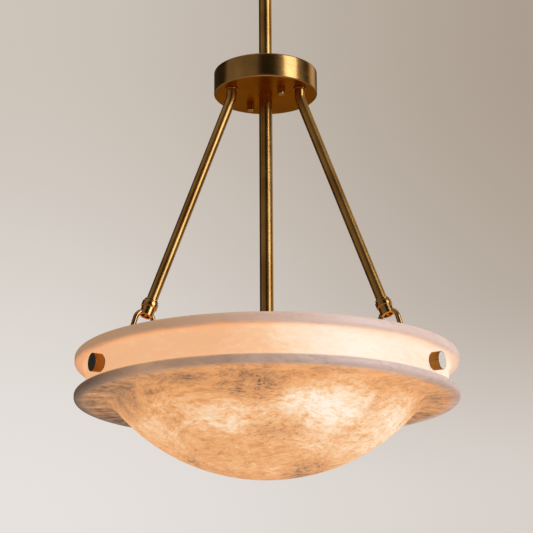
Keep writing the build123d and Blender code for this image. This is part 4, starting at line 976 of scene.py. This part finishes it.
def make_floor(shade, radius=14.0, height=-2.2):
    """Round pale floor that adds a little of its own colour where the camera looks at it."""
    mesh = bpy.data.meshes.new("floor")
    t = np.linspace(0, 2 * math.pi, 65)[:-1]
    edge = np.stack([radius * np.cos(t), radius * np.sin(t), np.full(64, height)], axis=1)
    mesh.from_pydata(edge, [], [list(range(64))])
    floor = bpy.data.objects.new("floor", mesh)
    bpy.context.scene.collection.objects.link(floor)
    f = Finish("pale_floor")
    pale = f.blend(f.clouds(f.place()[0], 3.0, 4.0, 0.5), tuple(0.96 * c for c in shade), shade)
    looked_at = f.node("ShaderNodeLightPath", output="Is Camera Ray")
    mesh.materials.append(f.surface({
        "Base Color": pale, "Roughness": 0.9, "Emission Strength": 1.0,
        "Emission Color": f.blend(looked_at, BLACK, f.tinted(pale, (0.48, 0.48, 0.48)))}))


def make_world(colours):
    """Pale wall for the camera, and a dim room round the pendant for light and reflections."""
    world = bpy.data.worlds.new("studio")
    w = Finish("studio", world)
    parts = w.tree.nodes.new("ShaderNodeSeparateXYZ")
    w.tree.links.new(w.node("ShaderNodeTexCoord", output="Generated"), parts.inputs[0])
    x, y, z = (Value(w, parts.outputs[k]) for k in range(3))
    turn = x.direction(-y) / (2 * math.pi) + 0.5
    room = w.ramp(turn, studio_stops())
    ceiling, ground = (0.50, 0.48, 0.45), (0.16, 0.12, 0.09)
    room = w.blend(w.step(z, 0.60, 0.95), room, ceiling)
    room = w.blend(w.step(z, -0.05, -0.35), room, ground)
    wall = w.blend(w.step(z, 0.13, 0.40), colours.wall_low, colours.wall_high)
    right = w.step(x, -0.16, 0.20) * w.step(z, 0.14, 0.27, 0.42, 1.0)
    wall = w.blend(right, wall, (0.66, 0.61, 0.555), "MULTIPLY")
    shade = w.blend(w.node("ShaderNodeLightPath", output="Is Camera Ray"), room, wall)
    end = w.tree.nodes.new("ShaderNodeOutputWorld")
    light = w.node("ShaderNodeBackground", {}, {"Color": shade, "Strength": 1.0})
    w.tree.links.new(light, end.inputs["Surface"])
    return world


def studio_stops():
    """Brightness of the room by direction: degrees from the front, positive to the right."""
    tint = np.array((1.0, 0.95, 0.87))
    levels = ((-180, 0.06), (-114, 0.02), (-101, 0.03), (-93, 0.30), (-60, 0.32), (-48, 0.23),
              (-20, 0.23), (-12, 0.02), (16, 0.02), (24, 0.05), (34, 0.22), (42, 0.35), (74, 0.35),
              (86, 0.26), (97, 0.07), (112, 0.05), (122, 0.90), (138, 0.90), (150, 0.10))
    return [(0.5 + degrees / 360.0, tuple(tint * level)) for degrees, level in levels]


def soft_light(name, place, goal, size, power, shade):
    """A soft lamp, a lit rectangle of width and height `size` that looks at a point."""
    data = bpy.data.lights.new(name, "AREA")
    data.shape = "RECTANGLE"
    data.size, data.size_y = size
    data.energy, data.color = power, shade
    lamp = bpy.data.objects.new(name, data)
    lamp.location = place
    lamp.rotation_mode = "QUATERNION"
    lamp.rotation_quaternion = (Vector(goal) - Vector(place)).to_track_quat("-Z", "Y")
    bpy.context.scene.collection.objects.link(lamp)


class PENDANT_PT_panel(bpy.types.Panel):
    """Pieces of the pendant, one button each"""
    bl_idname = "PENDANT_PT_panel"
    bl_label = "Pendant"
    bl_space_type = "VIEW_3D"
    bl_region_type = "UI"
    bl_category = "Pendant"

    def draw(self, context):
        for step in STEPS:
            self.layout.operator(step.bl_idname)
        for group in (context.scene.pendant_sizes, context.scene.pendant_colours):
            for key in group.__annotations__:
                self.layout.prop(group, key)


STEPS = (PENDANT_OT_finishes, PENDANT_OT_ceiling, PENDANT_OT_stem, PENDANT_OT_hub, PENDANT_OT_arms,
         PENDANT_OT_links, PENDANT_OT_bowl, PENDANT_OT_lamps, PENDANT_OT_stage)
CLASSES = (PendantSizes, PendantColours, *STEPS, PENDANT_PT_panel)


def register():
    for cls in CLASSES:
        bpy.utils.register_class(cls)
    bpy.types.Scene.pendant_sizes = PointerProperty(type=PendantSizes)
    bpy.types.Scene.pendant_colours = PointerProperty(type=PendantColours)


def unregister():
    del bpy.types.Scene.pendant_sizes
    del bpy.types.Scene.pendant_colours
    for cls in reversed(CLASSES):
        bpy.utils.unregister_class(cls)


def main():
    register()
    bpy.ops.pendant.finishes()
    bpy.ops.pendant.ceiling()
    bpy.ops.pendant.stem()
    bpy.ops.pendant.hub()
    bpy.ops.pendant.arms()
    bpy.ops.pendant.links()
    bpy.ops.pendant.bowl()
    bpy.ops.pendant.lamps()
    bpy.ops.pendant.stage()


if __name__ == "__main__":
    main()
